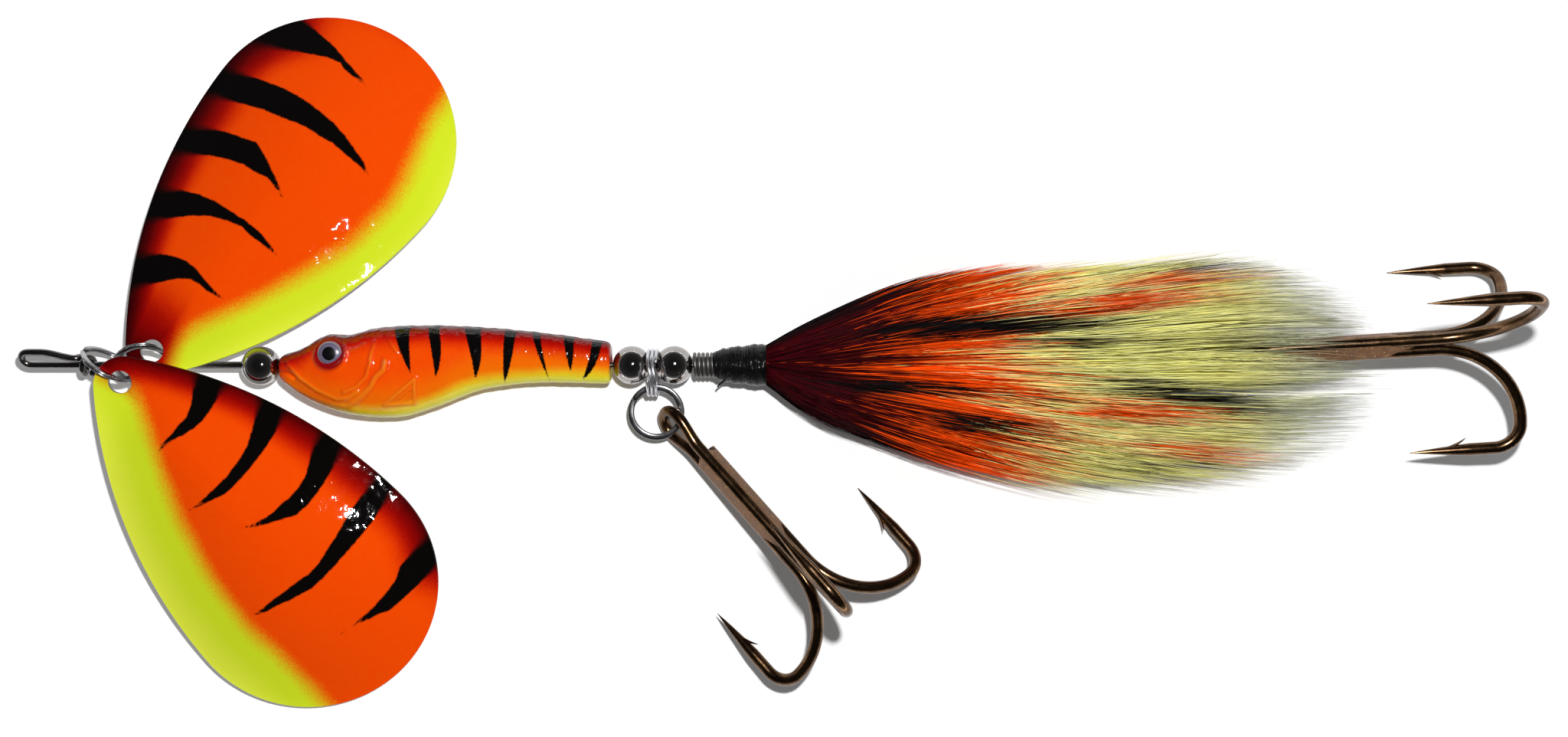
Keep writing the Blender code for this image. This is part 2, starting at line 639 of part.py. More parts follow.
def make_lock_coil(steel):
    """The wire coil in front of the thread, one unbroken helix round the tube with short straight ends."""
    turns = np.linspace(0, ROUND * COIL_LOOPS, int(COIL_LOOPS * COIL_POINTS) + 1)
    x = COIL_FRONT + COIL_PITCH * turns / ROUND
    path = np.stack([x, COIL_RADIUS * np.cos(turns), WIRE_HEIGHT + COIL_RADIUS * np.sin(turns)], axis=1)
    rise = np.full(len(turns), COIL_PITCH / ROUND)
    heading = np.stack([rise, -COIL_RADIUS * np.sin(turns), COIL_RADIUS * np.cos(turns)], axis=1)
    front_end = path[0] - unit(heading[0]) * COIL_WIRE
    rear_end = path[-1] + unit(heading[-1]) * COIL_WIRE
    path = np.concatenate([[front_end], path, [rear_end]])
    count = len(path)
    curve = bpy.data.curves.new("lock_coil", "CURVE")
    curve.dimensions = "3D"
    curve.bevel_depth = COIL_WIRE / 2
    curve.bevel_resolution = 1
    curve.use_fill_caps = True
    line = curve.splines.new("POLY")
    line.points.add(count - 1)
    for point, place in zip(line.points, path):
        point.co = (*place, 1.0)
    curve.materials.append(steel)
    coil = bpy.data.objects.new("lock_coil", curve)
    bpy.context.scene.collection.objects.link(coil)
    distance = np.linalg.norm(path[:, None] - path[None], axis=2)
    apart = np.abs(np.subtract.outer(np.arange(count), np.arange(count))) > COIL_POINTS // 2
    print("lock coil least gap mm:", round((distance[apart].min() - COIL_WIRE) / MM, 3))


def hair_flow(x, share, turn, spread):
    """Where a strand that starts at a share of the root radius lies at x, with its layer's spread.

    Every strand follows the same map, straight between common stations, so none cross.
    """
    stations = np.array(HAIR_STATIONS) * MM
    width = np.interp(x, stations, HAIR_HALF_WIDTH) * MM
    height = np.interp(x, stations, HAIR_HALF_HEIGHT) * MM
    shift = np.interp(x, stations, HAIR_SIDE_SHIFT) * MM
    middle = np.interp(x, stations, HAIR_MIDDLE_HEIGHT) * MM
    grown = share * np.interp(x, stations, spread)
    return np.array((x, shift + width * grown * math.cos(turn), middle + height * grown * math.sin(turn)))


def make_hair_layer(name, inner, outer, spread, lengths, keep_clear, random, paint):
    """One tied layer of hair: a slice round the tube, with three-sided strands from its rear face."""
    shape = bmesh.new()
    turns = [ROUND * j / HAIR_COLUMNS for j in range(HAIR_COLUMNS)]

    def rim(radius, x):
        return [
            shape.verts.new((x, radius * math.cos(t), WIRE_HEIGHT + radius * math.sin(t))) for t in turns
        ]

    front_in, front_out = rim(inner, HAIR_SLICE_FRONT), rim(outer, HAIR_SLICE_FRONT)
    rear_in, rear_out = rim(inner, HAIR_ROOT), rim(outer, HAIR_ROOT)
    low, high = inner / HAIR_ROOT_RADIUS, outer / HAIR_ROOT_RADIUS
    stations = np.array(HAIR_STATIONS) * MM
    for j in range(HAIR_COLUMNS):
        k = (j + 1) % HAIR_COLUMNS
        shape.faces.new((front_in[j], front_in[k], front_out[k], front_out[j]))
        shape.faces.new((front_in[k], front_in[j], rear_in[j], rear_in[k]))
        shape.faces.new((front_out[j], front_out[k], rear_out[k], rear_out[j]))
        here, there = turns[j], turns[j] + ROUND / HAIR_COLUMNS
        cells = (
            ((rear_in[j], rear_out[j], rear_out[k]), ((low, here), (high, here), (high, there))),
            ((rear_in[j], rear_out[k], rear_in[k]), ((low, here), (high, there), (low, there))),
        )
        for corners, cell in cells:
            end = random.uniform(*lengths) * MM
            grow_strand(shape, corners, np.array(cell), spread, stations[stations < end], end, keep_clear)
    add_piece(name, shape, paint)


def grow_strand(shape, corners, cell, spread, stations, end, keep_clear):
    """A strand from one triangular cell to a pointed tip, left out where it would meet the tail hook."""
    middle = cell.mean(axis=0)
    tip = hair_flow(end, middle[0], middle[1], spread)
    line = np.array([hair_flow(x, middle[0], middle[1], spread) for x in (*stations, end)])
    fine = np.concatenate([np.linspace(a, b, 12) for a, b in zip(line, line[1:])])
    gaps = np.linalg.norm(fine[:, None] - keep_clear[None], axis=2)
    if gaps.min() < HOOK_WIRE / 2 + STRAND_CLEARANCE:
        shape.faces.new(corners)
        return
    previous = corners
    for station, share in zip(stations, STRAND_SHARE):
        section = middle + share * (cell - middle)
        ring = [shape.verts.new(hair_flow(station, r, t, spread)) for r, t in section]
        for j in range(3):
            k = (j + 1) % 3
            shape.faces.new((previous[j], previous[k], ring[k], ring[j]))
        previous = ring
    point = shape.verts.new(tip)
    for j in range(3):
        shape.faces.new((previous[j], previous[(j + 1) % 3], point))


def tail_keep_clear():
    """Points along the tail hook and the rear eye that hair strands stay away from."""
    frame = treble_frame(TAIL_HOOK_YAW, TAIL_HOOK_RISE)
    pair, single, _ = treble_lines(frame, TAIL_HOOK_ROLL)
    start = treble_origin(frame, TAIL_HOOK_ROLL, rear_eye_contact(), TAIL_WIRE_IN_EYE)
    lines = (pair[0] + start, single[0] + start, shaft_path()[-60:])
    return np.concatenate([np.concatenate([np.linspace(a, b, 8) for a, b in zip(p, p[1:])]) for p in lines])


def make_hair(maroon, orange, chartreuse):
    """The tail: long chartreuse hair inside, orange over it, short maroon outside."""
    random = np.random.default_rng(HAIR_SEED)
    keep_clear = tail_keep_clear()
    layers = (
        ("under_hair", 1.55, 2.05, (1, 1, 1, 1.05, 1.6, 1.6), (72, 90), chartreuse),
        ("middle_hair", 2.2, 2.7, (1, 1, 1, 1.2, 1.2, 1.2), (34, 51), orange),
        ("outer_hair", 2.85, 3.4, (1, 1, 1, 1, 1, 1), (17, 27), maroon),
    )
    for name, inner, outer, spread, lengths, paint in layers:
        make_hair_layer(name, inner * MM, outer * MM, spread, lengths, keep_clear, random, paint)


def main():
    clear_scene()
    steel = finish("shaft_steel", (0.24, 0.23, 0.23), 0.25, 1.0)
    nickel = finish("black_nickel", (0.09, 0.09, 0.10), 0.18, 1.0)
    silver = finish("silver_plate", (0.72, 0.72, 0.74), 0.2, 1.0)
    chrome = finish("bead_chrome", (0.30, 0.30, 0.31), 0.1, 1.0)
    bronze = finish("hook_bronze", (0.20, 0.13, 0.09), 0.3, 1.0)
    paint = finish("blade_paint", (1.0, 0.08, 0.0), 0.25)
    skin = finish("minnow_paint", (0.9, 0.12, 0.02), 0.35)
    eye_paint = finish("eye_paint", (0.28, 0.25, 0.33), 0.2)
    plastic = finish("tube_plastic", (0.20, 0.20, 0.20), 0.5)
    thread = finish("black_thread", (0.02, 0.02, 0.02), 0.7)
    maroon = finish("maroon_hair", (0.16, 0.01, 0.02), 0.7)
    orange = finish("orange_hair", (0.85, 0.15, 0.03), 0.7)
    chartreuse = finish("chartreuse_hair", (0.72, 0.80, 0.20), 0.7)

    make_shaft(steel)
    make_blade("upper_blade", UPPER_BLADE_HOLE, UPPER_BLADE_YAW, UPPER_BLADE_TILT, paint)
    make_blade("lower_blade", LOWER_BLADE_HOLE, LOWER_BLADE_YAW, LOWER_BLADE_TILT, paint)
    blade_rings = (
        ("upper_blade_ring", UPPER_RING_CENTRE, UPPER_RING_NORMAL, (-104 * MM, 3 * MM, 9 * MM)),
        ("lower_blade_ring", LOWER_RING_CENTRE, LOWER_RING_NORMAL, (-107 * MM, 3 * MM, 9 * MM)),
    )
    for name, centre, normal, split_at in blade_rings:
        pivot = (centre[0], 0, WIRE_HEIGHT)
        section = (BLADE_RING_RADIUS, BLADE_RING_WIRE, 2, BLADE_RING_WIRE * COIL_SHARE)
        make_split_ring(name, centre, normal, *section, split_at, nickel, pivot)
    for name, place in (("front_bead", FRONT_BEAD), ("middle_bead", MIDDLE_BEAD), ("rear_bead", REAR_BEAD)):
        make_bead(name, place, chrome)
    make_minnow(skin, eye_paint)
    hanger_centre = (HANGER_X, -HANGER_DROP, WIRE_HEIGHT)
    above = (HANGER_X, 0, 20 * MM)
    pivot = (HANGER_X, 0, WIRE_HEIGHT)
    section = (HANGER_RADIUS, HANGER_COIL, 3, HANGER_COIL)
    make_split_ring("hanger_ring", hanger_centre, (1, 0, 0), *section, above, silver, pivot)
    hung = (HANGER_X, -HANGER_DROP - HANGER_RADIUS, WIRE_HEIGHT)
    beside = (-40 * MM, BELLY_RING_CENTRE[1], WIRE_HEIGHT)
    wide = BELLY_RING_WIRE
    flat = (0, -math.sin(BELLY_RING_DIP), math.cos(BELLY_RING_DIP))
    place = (BELLY_RING_CENTRE, flat, BELLY_RING_RADIUS)
    make_split_ring("belly_ring", *place, wide, 2, wide * COIL_SHARE, beside, nickel, hung)
    belly = treble_frame(BELLY_HOOK_YAW, BELLY_HOOK_RISE)
    hold = belly_ring_contact()
    make_treble("belly_hook", belly, BELLY_HOOK_ROLL, hold, BELLY_RING_IN_EYE, bronze, BELLY_RING_CENTRE)
    tail = treble_frame(TAIL_HOOK_YAW, TAIL_HOOK_RISE)
    hold = tuple(rear_eye_contact())
    make_treble("tail_hook", tail, TAIL_HOOK_ROLL, hold, TAIL_WIRE_IN_EYE, bronze, hold)
    make_tail_tube(plastic, thread)
    make_lock_coil(steel)
    make_hair(maroon, orange, chartreuse)
    for piece in bpy.data.objects:
        piece.location.x += CENTRE_SHIFT


main()
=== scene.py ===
# %% [markdown]
# # An inline spinner, dressed for its picture
#
# The lure lies flat on a white table and is seen from straight above, through a lens about a quarter of a metre up.
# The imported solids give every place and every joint. This lesson lays a finished surface over each of them: a shape
# is a small formula in numpy, worked out for all its points at once, and a finish is a few nodes.

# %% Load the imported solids
import json
from itertools import accumulate

import bpy
import numpy as np
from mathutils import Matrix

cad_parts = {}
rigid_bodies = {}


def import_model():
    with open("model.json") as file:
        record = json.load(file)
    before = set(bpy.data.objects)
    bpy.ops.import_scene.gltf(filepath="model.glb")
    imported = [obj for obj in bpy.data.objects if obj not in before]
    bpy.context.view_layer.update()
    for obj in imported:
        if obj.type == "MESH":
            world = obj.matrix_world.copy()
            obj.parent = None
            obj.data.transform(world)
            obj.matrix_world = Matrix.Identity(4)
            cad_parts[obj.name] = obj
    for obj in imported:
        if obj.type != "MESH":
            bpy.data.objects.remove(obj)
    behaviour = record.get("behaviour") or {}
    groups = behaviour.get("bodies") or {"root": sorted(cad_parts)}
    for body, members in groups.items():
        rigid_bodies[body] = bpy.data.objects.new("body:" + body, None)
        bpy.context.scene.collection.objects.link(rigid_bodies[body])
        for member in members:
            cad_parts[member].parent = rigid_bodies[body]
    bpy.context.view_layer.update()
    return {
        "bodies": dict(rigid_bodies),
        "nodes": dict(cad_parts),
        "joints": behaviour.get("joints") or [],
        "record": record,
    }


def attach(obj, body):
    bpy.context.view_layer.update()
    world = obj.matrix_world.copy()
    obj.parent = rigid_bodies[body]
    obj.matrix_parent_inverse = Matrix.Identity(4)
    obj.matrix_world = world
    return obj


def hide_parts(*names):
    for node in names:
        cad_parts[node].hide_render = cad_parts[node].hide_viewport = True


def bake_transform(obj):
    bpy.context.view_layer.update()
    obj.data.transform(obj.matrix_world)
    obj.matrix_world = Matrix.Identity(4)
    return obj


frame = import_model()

# %% [markdown]
# ## Camera, lamp and table
#
# The two hooks of each treble that stand up look larger than the one that lies down, so the picture was taken from
# close by. A camera 240 mm up gives the same sizes. The shadows hug the pieces, which tells that the lamp sat beside
# the lens. A small round lamp at that spot does this, and a constant falloff keeps the far ends as bright as the
# middle. The table is white to the camera and in the reflections, and still takes the shadow. The room is dim overhead
# and paler towards the horizon, which gives round metal its dark middle; the camera itself sees a white wall.

# %% Camera and light
MM = 0.001
ROUND = 2 * np.pi
SHIFT = np.array((3.45, 0.0, 0.0))
LENS_PLACE = np.array((3.51, -0.54, 240.0))
LAMP_PLACE = np.array((19.5, 32.5, 240.0))
LAMP_RADIUS, LAMP_STRENGTH = 4.5, 36.0
SENSOR_WIDTH, FOCAL_LENGTH, NEAREST_SEEN = 36.0, 34.46, 0.01
ROOM_LEVELS, ROOM_STRENGTH = ((0.0, 0.8), (0.3, 0.1), (0.9, 0.035)), 0.5

scene = bpy.context.scene
scene.view_settings.view_transform = "Standard"
camera_data = bpy.data.cameras.new("lens")
camera_data.sensor_width = SENSOR_WIDTH
camera_data.lens = FOCAL_LENGTH
camera_data.clip_start = NEAREST_SEEN
camera = bpy.data.objects.new("lens", camera_data)
camera.location = LENS_PLACE * MM
scene.collection.objects.link(camera)
scene.camera = camera

lamp_data = bpy.data.lights.new("lamp_beside_lens", "POINT")
lamp_data.shadow_soft_size = LAMP_RADIUS * MM
lamp_data.energy = 1.0
lamp_data.use_nodes = True
lamp_tree = lamp_data.node_tree
falloff = lamp_tree.nodes.new("ShaderNodeLightFalloff")
falloff.inputs["Strength"].default_value = LAMP_STRENGTH
lamp_tree.links.new(falloff.outputs["Constant"], lamp_tree.nodes["Emission"].inputs["Strength"])
lamp = bpy.data.objects.new("lamp_beside_lens", lamp_data)
lamp.location = LAMP_PLACE * MM
scene.collection.objects.link(lamp)

world = bpy.data.worlds.new("dim_room")
scene.world = world
world.use_nodes = True
room = world.node_tree
towards = room.nodes.new("ShaderNodeTexCoord")
height = room.nodes.new("ShaderNodeSeparateXYZ")
room.links.new(towards.outputs["Generated"], height.inputs["Vector"])
dusk = room.nodes.new("ShaderNodeValToRGB")
dusk.color_ramp.elements.new(0.5)
for stop, (position, level) in zip(dusk.color_ramp.elements, ROOM_LEVELS):
    stop.position = position
    stop.color = (level, level, level, 1)
room.links.new(height.outputs["Z"], dusk.inputs["Fac"])
room.links.new(dusk.outputs["Color"], room.nodes["Background"].inputs["Color"])
room.nodes["Background"].inputs["Strength"].default_value = ROOM_STRENGTH
white_wall = room.nodes.new("ShaderNodeBackground")
white_wall.inputs["Color"].default_value = (1, 1, 1, 1)
seen = room.nodes.new("ShaderNodeLightPath")
choice = room.nodes.new("ShaderNodeMixShader")
room.links.new(seen.outputs["Is Camera Ray"], choice.inputs[0])
room.links.new(room.nodes["Background"].outputs[0], choice.inputs[1])
room.links.new(white_wall.outputs[0], choice.inputs[2])
room.links.new(choice.outputs[0], room.nodes["World Output"].inputs["Surface"])
print("camera", np.round(LENS_PLACE, 2), "lamp", np.round(LAMP_PLACE, 2))

# %% [markdown]
# ## Finishes from nodes
#
# Every finish starts from the same shader and differs in what feeds it. `Finish` keeps the nodes of one finish
# together, so that a later cell reads as a recipe: take a distance that the mesh carries, roughen it with noise, and
# use it to choose between two colours. Noise sizes are in millimetres.

# %% A recipe book for finishes
class Finish:
    """A shader and the steps that feed it. A step takes sockets or plain numbers and returns a socket."""

    def __init__(self, name, **sockets):
        """Start from the standard shader; a socket's name is written with _ for a space."""
        self.material = bpy.data.materials.new(name)
        self.material.use_nodes = True
        self.tree = self.material.node_tree
        self.shader = self.tree.nodes["Principled BSDF"]
        self.feed(self.shader, {key.replace("_", " "): value for key, value in sockets.items()})

    def feed(self, node, inputs):
        """Set an input that is a number or a colour, and link one that is a socket."""
        for key, value in inputs.items():
            if isinstance(value, bpy.types.NodeSocket):
                self.tree.links.new(value, node.inputs[key])
            else:
                node.inputs[key].default_value = value

    def node(self, kind, inputs, **settings):
        """Add a node, choose its options and feed its inputs."""
        made = self.tree.nodes.new(kind)
        for key, value in settings.items():
            setattr(made, key, value)
        self.feed(made, inputs)
        return made

    def carried(self, name, output="Fac"):
        """A value that the mesh carries at its points."""
        return self.node("ShaderNodeAttribute", {}, attribute_name=name).outputs[output]

    def place(self, stretch=None):
        """Where the point is on the object; stretch divides the pattern along each axis."""
        where = self.node("ShaderNodeTexCoord", {}).outputs["Object"]
        if stretch is None:
            return where
        return self.node("ShaderNodeMapping", {"Vector": where, "Scale": stretch}).outputs["Vector"]

    def noise(self, size, detail=2.0, stretch=None):
        """Cloudy noise from 0 to 1 whose blotches are about size millimetres across."""
        inputs = {"Vector": self.place(stretch), "Scale": 1 / (size * MM), "Detail": detail}
        return self.node("ShaderNodeTexNoise", inputs).outputs["Fac"]

    def math(self, step, first, second=0.0):
        """One step of arithmetic."""
        return self.node("ShaderNodeMath", {0: first, 1: second}, operation=step).outputs[0]

    def line(self, value, slope, start):
        """Slope times the value, plus a start."""
        return self.node("ShaderNodeMath", {0: value, 1: slope, 2: start}, operation="MULTIPLY_ADD").outputs[0]

    def shaken(self, value, noise, reach):
        """A value moved up and down by noise, by at most half the reach."""
        centred = self.math("SUBTRACT", noise, 0.5)
        return self.math("ADD", value, self.math("MULTIPLY", centred, reach))

    def between(self, value, low, high):
        """0 below low, 1 above high and a smooth rise between."""
        inputs = {"Value": value, "From Min": low, "From Max": high}
        return self.node("ShaderNodeMapRange", inputs, interpolation_type="SMOOTHSTEP").outputs["Result"]

    def blend(self, share, first, second):
        """One colour where share is 0, the other where it is 1."""
        inputs = {0: share, 6: colour4(first), 7: colour4(second)}
        return self.node("ShaderNodeMix", inputs, data_type="RGBA").outputs[2]

    def ramp(self, value, stops):
        """A colour looked up along a row of (position, colour) stops."""
        made = self.node("ShaderNodeValToRGB", {"Fac": value})
        row = made.color_ramp.elements
        for _ in stops[2:]:
            row.new(0.5)
        for stop, (position, colour) in zip(row, stops):
            stop.position = position
            stop.color = colour4(colour)
        return made.outputs["Color"]

    def bump(self, height, depth, strength=1.0):
        """Small dents of the given depth in millimetres."""
        inputs = {"Height": height, "Distance": depth * MM, "Strength": strength}
        return self.node("ShaderNodeBump", inputs).outputs["Normal"]


def colour4(colour):
    """A colour with its alpha; sockets pass through."""
    return colour if isinstance(colour, bpy.types.NodeSocket) else (*colour, 1.0)


def screen(red, green, blue):
    """A colour as a screen shows it, from 0 to 255, turned into the amounts of light that a shader takes."""
    value = np.array((red, green, blue)) / 255
    return tuple(np.where(value < 0.04045, value / 12.92, ((value + 0.055) / 1.055) ** 2.4).tolist())


# %% The table
TABLE_HALF, TABLE_DROP, TABLE_GREY = 2.0, 0.0002, 0.88
GLOW_REACH, GLOW_RISE, GLOW_LEAST = 130.0, 0.15, 0.055

table_finish = Finish("white_table", Roughness=0.9, Specular_IOR_Level=0.0)
seen = table_finish.node("ShaderNodeLightPath", {})
bright = table_finish.math("MAXIMUM", seen.outputs["Is Camera Ray"], seen.outputs["Is Glossy Ray"])
bright = table_finish.math("MAXIMUM", bright, seen.outputs["Is Transmission Ray"])
table_finish.shader.inputs["Emission Color"].default_value = (1, 1, 1, 1)
table_tone = table_finish.blend(bright, (TABLE_GREY,) * 3, (1.0, 1.0, 1.0))
lamp_foot = {0: table_finish.place(), 1: (LAMP_PLACE[0] * MM, LAMP_PLACE[1] * MM, 0.0)}
from_lamp = table_finish.node("ShaderNodeVectorMath", lamp_foot, operation="DISTANCE").outputs["Value"]
far_share = table_finish.math("MULTIPLY", from_lamp, 1 / (GLOW_REACH * MM))
far_glow = table_finish.line(table_finish.math("MULTIPLY", far_share, far_share), GLOW_RISE, GLOW_LEAST)
table_glow = table_finish.math("MULTIPLY", bright, far_glow)
table_finish.feed(table_finish.shader, {"Base Color": table_tone, "Emission Strength": table_glow})
corners = np.array(((-1, -1, 0), (1, -1, 0), (1, 1, 0), (-1, 1, 0))) * TABLE_HALF
table_mesh = bpy.data.meshes.new("table")
table_mesh.from_pydata(corners.tolist(), [], [(0, 1, 2, 3)])
table_mesh.materials.append(table_finish.material)
table = bpy.data.objects.new("table", table_mesh)
table.location = (0, 0, -TABLE_DROP)
scene.collection.objects.link(table)
print("table", 2 * TABLE_HALF, "m wide")

# %% [markdown]
# ## Grids, tubes and turned shapes
#
# Three small tools make every piece. A grid of points becomes a mesh when each cell gets a four-cornered face. A wire
# is a circle carried along a path; the circle is turned from step to step by the smallest rotation that follows the
# path, so it never twists. A turned piece is a profile spun about the wire. All points are in millimetres, in the
# drawing's own frame, and are moved into the row's frame when the mesh is made.

# %% Mesh tools
def unit(vectors):
    """Vectors of length one."""
    vectors = np.asarray(vectors, float)
    return vectors / np.maximum(np.linalg.norm(vectors, axis=-1, keepdims=True), 1e-12)


def smooth_step(t):
    """Rise from 0 to 1 with level ends: t squared times (3 minus 2 t)."""
    t = np.clip(t, 0, 1)
    return t * t * (3 - 2 * t)


def curve_through(knots, x):
    """Smooth curve through a few (x, y) knots: cubic pieces with the mean slope at each knot."""
    kx, ky = np.array(knots, float).T
    slope = np.gradient(ky, kx)
    i = np.clip(np.searchsorted(kx, x) - 1, 0, len(kx) - 2)
    width = kx[i + 1] - kx[i]
    t = (x - kx[i]) / width
    start = ky[i] * (1 + 2 * t) * (1 - t) ** 2 + slope[i] * width * t * (1 - t) ** 2
    end = ky[i + 1] * t**2 * (3 - 2 * t) - slope[i + 1] * width * t**2 * (1 - t)
    return start + end


def grid_faces(rows, columns, rows_closed=False):
    """Four-cornered faces of a grid whose columns go round; they face out where columns turn left along the rows."""
    r, c = np.meshgrid(np.arange(rows if rows_closed else rows - 1), np.arange(columns), indexing="ij")
    below, beside = (r + 1) % rows, (c + 1) % columns
    quads = [r * columns + c, r * columns + beside, below * columns + beside, below * columns + c]
    return np.stack(quads, axis=-1).reshape(-1, 4)


def capped(grid):
    """Points and faces of a tube grid with both ends closed by a fan round a middle point."""
    rows, columns = grid.shape[:2]
    points = np.concatenate([grid.reshape(-1, 3), grid[[0, -1]].mean(axis=1)])
    c = np.arange(columns)
    beside, last = (c + 1) % columns, (rows - 1) * columns
    front = np.stack([np.full(columns, rows * columns), beside, c], axis=1)
    rear = np.stack([np.full(columns, rows * columns + 1), last + c, last + beside], axis=1)
    return points, [grid_faces(rows, columns), front, rear]


def carried_circle(path, radii, sides):
    """Grid of a circle carried along a path.

    Each step's turn is the rotation that takes one heading to the next: identity plus K plus K squared over one plus
    the cosine, where K is the cross-product matrix of the two headings. Chained, they keep the circle from twisting.
    """
    heading = unit(np.gradient(path, axis=0))
    cross = np.cross(heading[:-1], heading[1:])
    cosine = (heading[:-1] * heading[1:]).sum(axis=1)
    k = np.zeros((len(cross), 3, 3))
    k[:, [2, 0, 1], [1, 2, 0]] = cross
    k[:, [1, 2, 0], [2, 0, 1]] = -cross
    steps = np.eye(3) + k + k @ k / (1 + cosine)[:, None, None]
    turned = np.array(list(accumulate(steps, lambda so_far, step: step @ so_far, initial=np.eye(3))))
    side = unit(turned @ unit(np.cross(heading[0], (0.31, 0.52, 0.79))))
    other = np.cross(heading, side)
    turn = np.linspace(0, ROUND, sides, endpoint=False)[None, :, None]
    out = np.cos(turn) * side[:, None] + np.sin(turn) * other[:, None]
    return path[:, None] + out * np.broadcast_to(radii, len(path))[:, None, None]


def joined(parts):
    """Points and faces of several closed shapes put together as one mesh."""
    starts = np.cumsum([0] + [len(points) for points, faces in parts])
    faces = [block + start for (points, blocks), start in zip(parts, starts) for block in blocks]
    return np.concatenate([points for points, blocks in parts]), faces


def evened(path, spacing, reach=0.0):
    """A path resampled at even spacing, its corners rounded by a weighted mean over the given reach."""
    length = np.concatenate([[0], np.cumsum(np.linalg.norm(np.diff(path, axis=0), axis=1))])
    steps = np.linspace(0, length[-1], int(length[-1] / spacing) + 1)
    even = np.stack([np.interp(steps, length, axis) for axis in path.T], axis=1)
    half = int(reach / spacing)
    if half < 1:
        return even
    weight = np.hanning(2 * half + 3)[1:-1]
    wide = np.pad(even, ((half, half), (0, 0)), mode="reflect", reflect_type="odd")
    return np.stack([np.convolve(axis, weight / weight.sum(), "valid") for axis in wide.T], axis=1)


def turned_grid(along, out, centre, columns):
    """Grid of a profile of (along, out) pairs spun about the x direction through a point."""
    turn = np.linspace(0, ROUND, columns, endpoint=False)[None, :]
    x = np.broadcast_to(np.asarray(along)[:, None], (len(along), columns))
    r = np.asarray(out)[:, None]
    return np.stack([x, r * np.cos(turn), r * np.sin(turn)], axis=-1) + np.asarray(centre)


def add_piece(name, points, faces, finishes, body, slot, stands_for=(), values=None, face_finish=None, bend=None):
    """Make a mesh object, give it its finishes and carried values, and let it ride on its body unless it has a bend.

    A piece given a bend (another body and two points) is not put on a body: its place is baked into its points, and
    the bend's body and points are not used.
    """
    faces = faces if isinstance(faces, list) else [faces]
    sizes = np.concatenate([np.full(len(f), f.shape[1]) for f in faces])
    corners = np.concatenate([f.ravel() for f in faces]).astype(np.int32)
    mesh = bpy.data.meshes.new(name)
    mesh.vertices.add(len(points))
    mesh.vertices.foreach_set("co", ((np.asarray(points) + SHIFT) * MM).astype(np.float32).ravel())
    mesh.loops.add(len(corners))
    mesh.loops.foreach_set("vertex_index", corners)
    mesh.polygons.add(len(sizes))
    starts = np.concatenate([[0], np.cumsum(sizes)[:-1]]).astype(np.int32)
    mesh.polygons.foreach_set("loop_start", starts)
    mesh.polygons.foreach_set("use_smooth", np.ones(len(sizes), bool))
    for finish in finishes:
        mesh.materials.append(finish.material)
    if face_finish is not None:
        mesh.polygons.foreach_set("material_index", face_finish.astype(np.int32))
    for key, value in (values or {}).items():
        wide = value.ndim == 2
        layer = mesh.attributes.new(key, "FLOAT_COLOR" if wide else "FLOAT", "POINT")
        layer.data.foreach_set("color" if wide else "value", value.astype(np.float32).ravel())
    mesh.update(calc_edges=True)
    mesh.validate()
    piece = bpy.data.objects.new(name, mesh)
    scene.collection.objects.link(piece)
    if bend is None:
        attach(piece, body)
    else:
        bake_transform(piece)
    if stands_for:
        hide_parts(*stands_for)
    print(name, len(points), "points", int((sizes - 2).sum()), "triangles")
    return piece


# %% [markdown]
# ## Paint outlines
#
# A stripe on the lure is a claw: wide where it leaves the dark edge, pointed at its tip. Its two sides are quadratic
# curves from two base points to one tip. The mesh carries each point's signed distance to the nearest stripe, and the
# finish decides there how ragged or how soft the edge is. Distance is smooth over the surface, so the edge stays
# crisp between the points of the grid.

# %% Signed distance to painted claws
def claw(base_a, bend_a, tip, bend_b, base_b, steps=20):
    """Closed outline of a claw: the curve (1-t)^2 base + 2t(1-t) bend + t^2 tip on each side."""
    t = np.linspace(0, 1, steps)[:, None]
    sides = [
        (1 - t) ** 2 * np.array(base) + 2 * t * (1 - t) * np.array(bend) + t**2 * np.array(tip)
        for base, bend in ((base_a, bend_a), (base_b, bend_b))
    ]
    return np.concatenate([sides[0], sides[1][-2::-1]])


def signed_distance(spots, outline):
    """Distance from each spot to a closed outline, negative inside; inside is an odd count of edge crossings."""
    start, end = outline, np.roll(outline, -1, axis=0)
    edge = end - start
    to_spot = spots[:, None] - start
    share = np.clip((to_spot * edge).sum(axis=2) / np.maximum((edge**2).sum(axis=1), 1e-12), 0, 1)
    gap = np.linalg.norm(to_spot - share[..., None] * edge, axis=2).min(axis=1)
    level = spots[:, None, 1]
    spans = (start[:, 1] > level) != (end[:, 1] > level)
    rise = np.where(np.abs(edge[:, 1]) < 1e-12, 1e-12, edge[:, 1])
    crossing = start[:, 0] + (level - start[:, 1]) / rise * edge[:, 0]
    inside = (spans & (spots[:, None, 0] < crossing)).sum(axis=1) % 2 == 1
    return np.where(inside, -gap, gap)


def nearest_claw(spots, claws):
    """Signed distance to the nearest of several closed outlines."""
    return np.min([signed_distance(spots, np.array(outline)) for outline in claws], axis=0)


def line_distance(spots, knots):
    """Distance from each spot to an open line through a few knots."""
    knots = np.array(knots, float)
    start, edge = knots[:-1], np.diff(knots, axis=0)
    to_spot = spots[:, None] - start
    share = np.clip((to_spot * edge).sum(axis=2) / (edge**2).sum(axis=1), 0, 1)
    return np.linalg.norm(to_spot - share[..., None] * edge, axis=2).min(axis=1)


# %% [markdown]
# ## Blade paint
#
# The blades are airbrushed: fluorescent orange, a chartreuse band along one edge, a dark red fade along the other, and
# black claws sprayed through a mask that lifts near the dark edge, so their edges are crisp at the tip and soft at the
# base. A thick clear coat lies over it all and ripples a little. One could paint a picture and wrap it round the
# blade; distances carried by the mesh stay sharp at any size and need no picture.

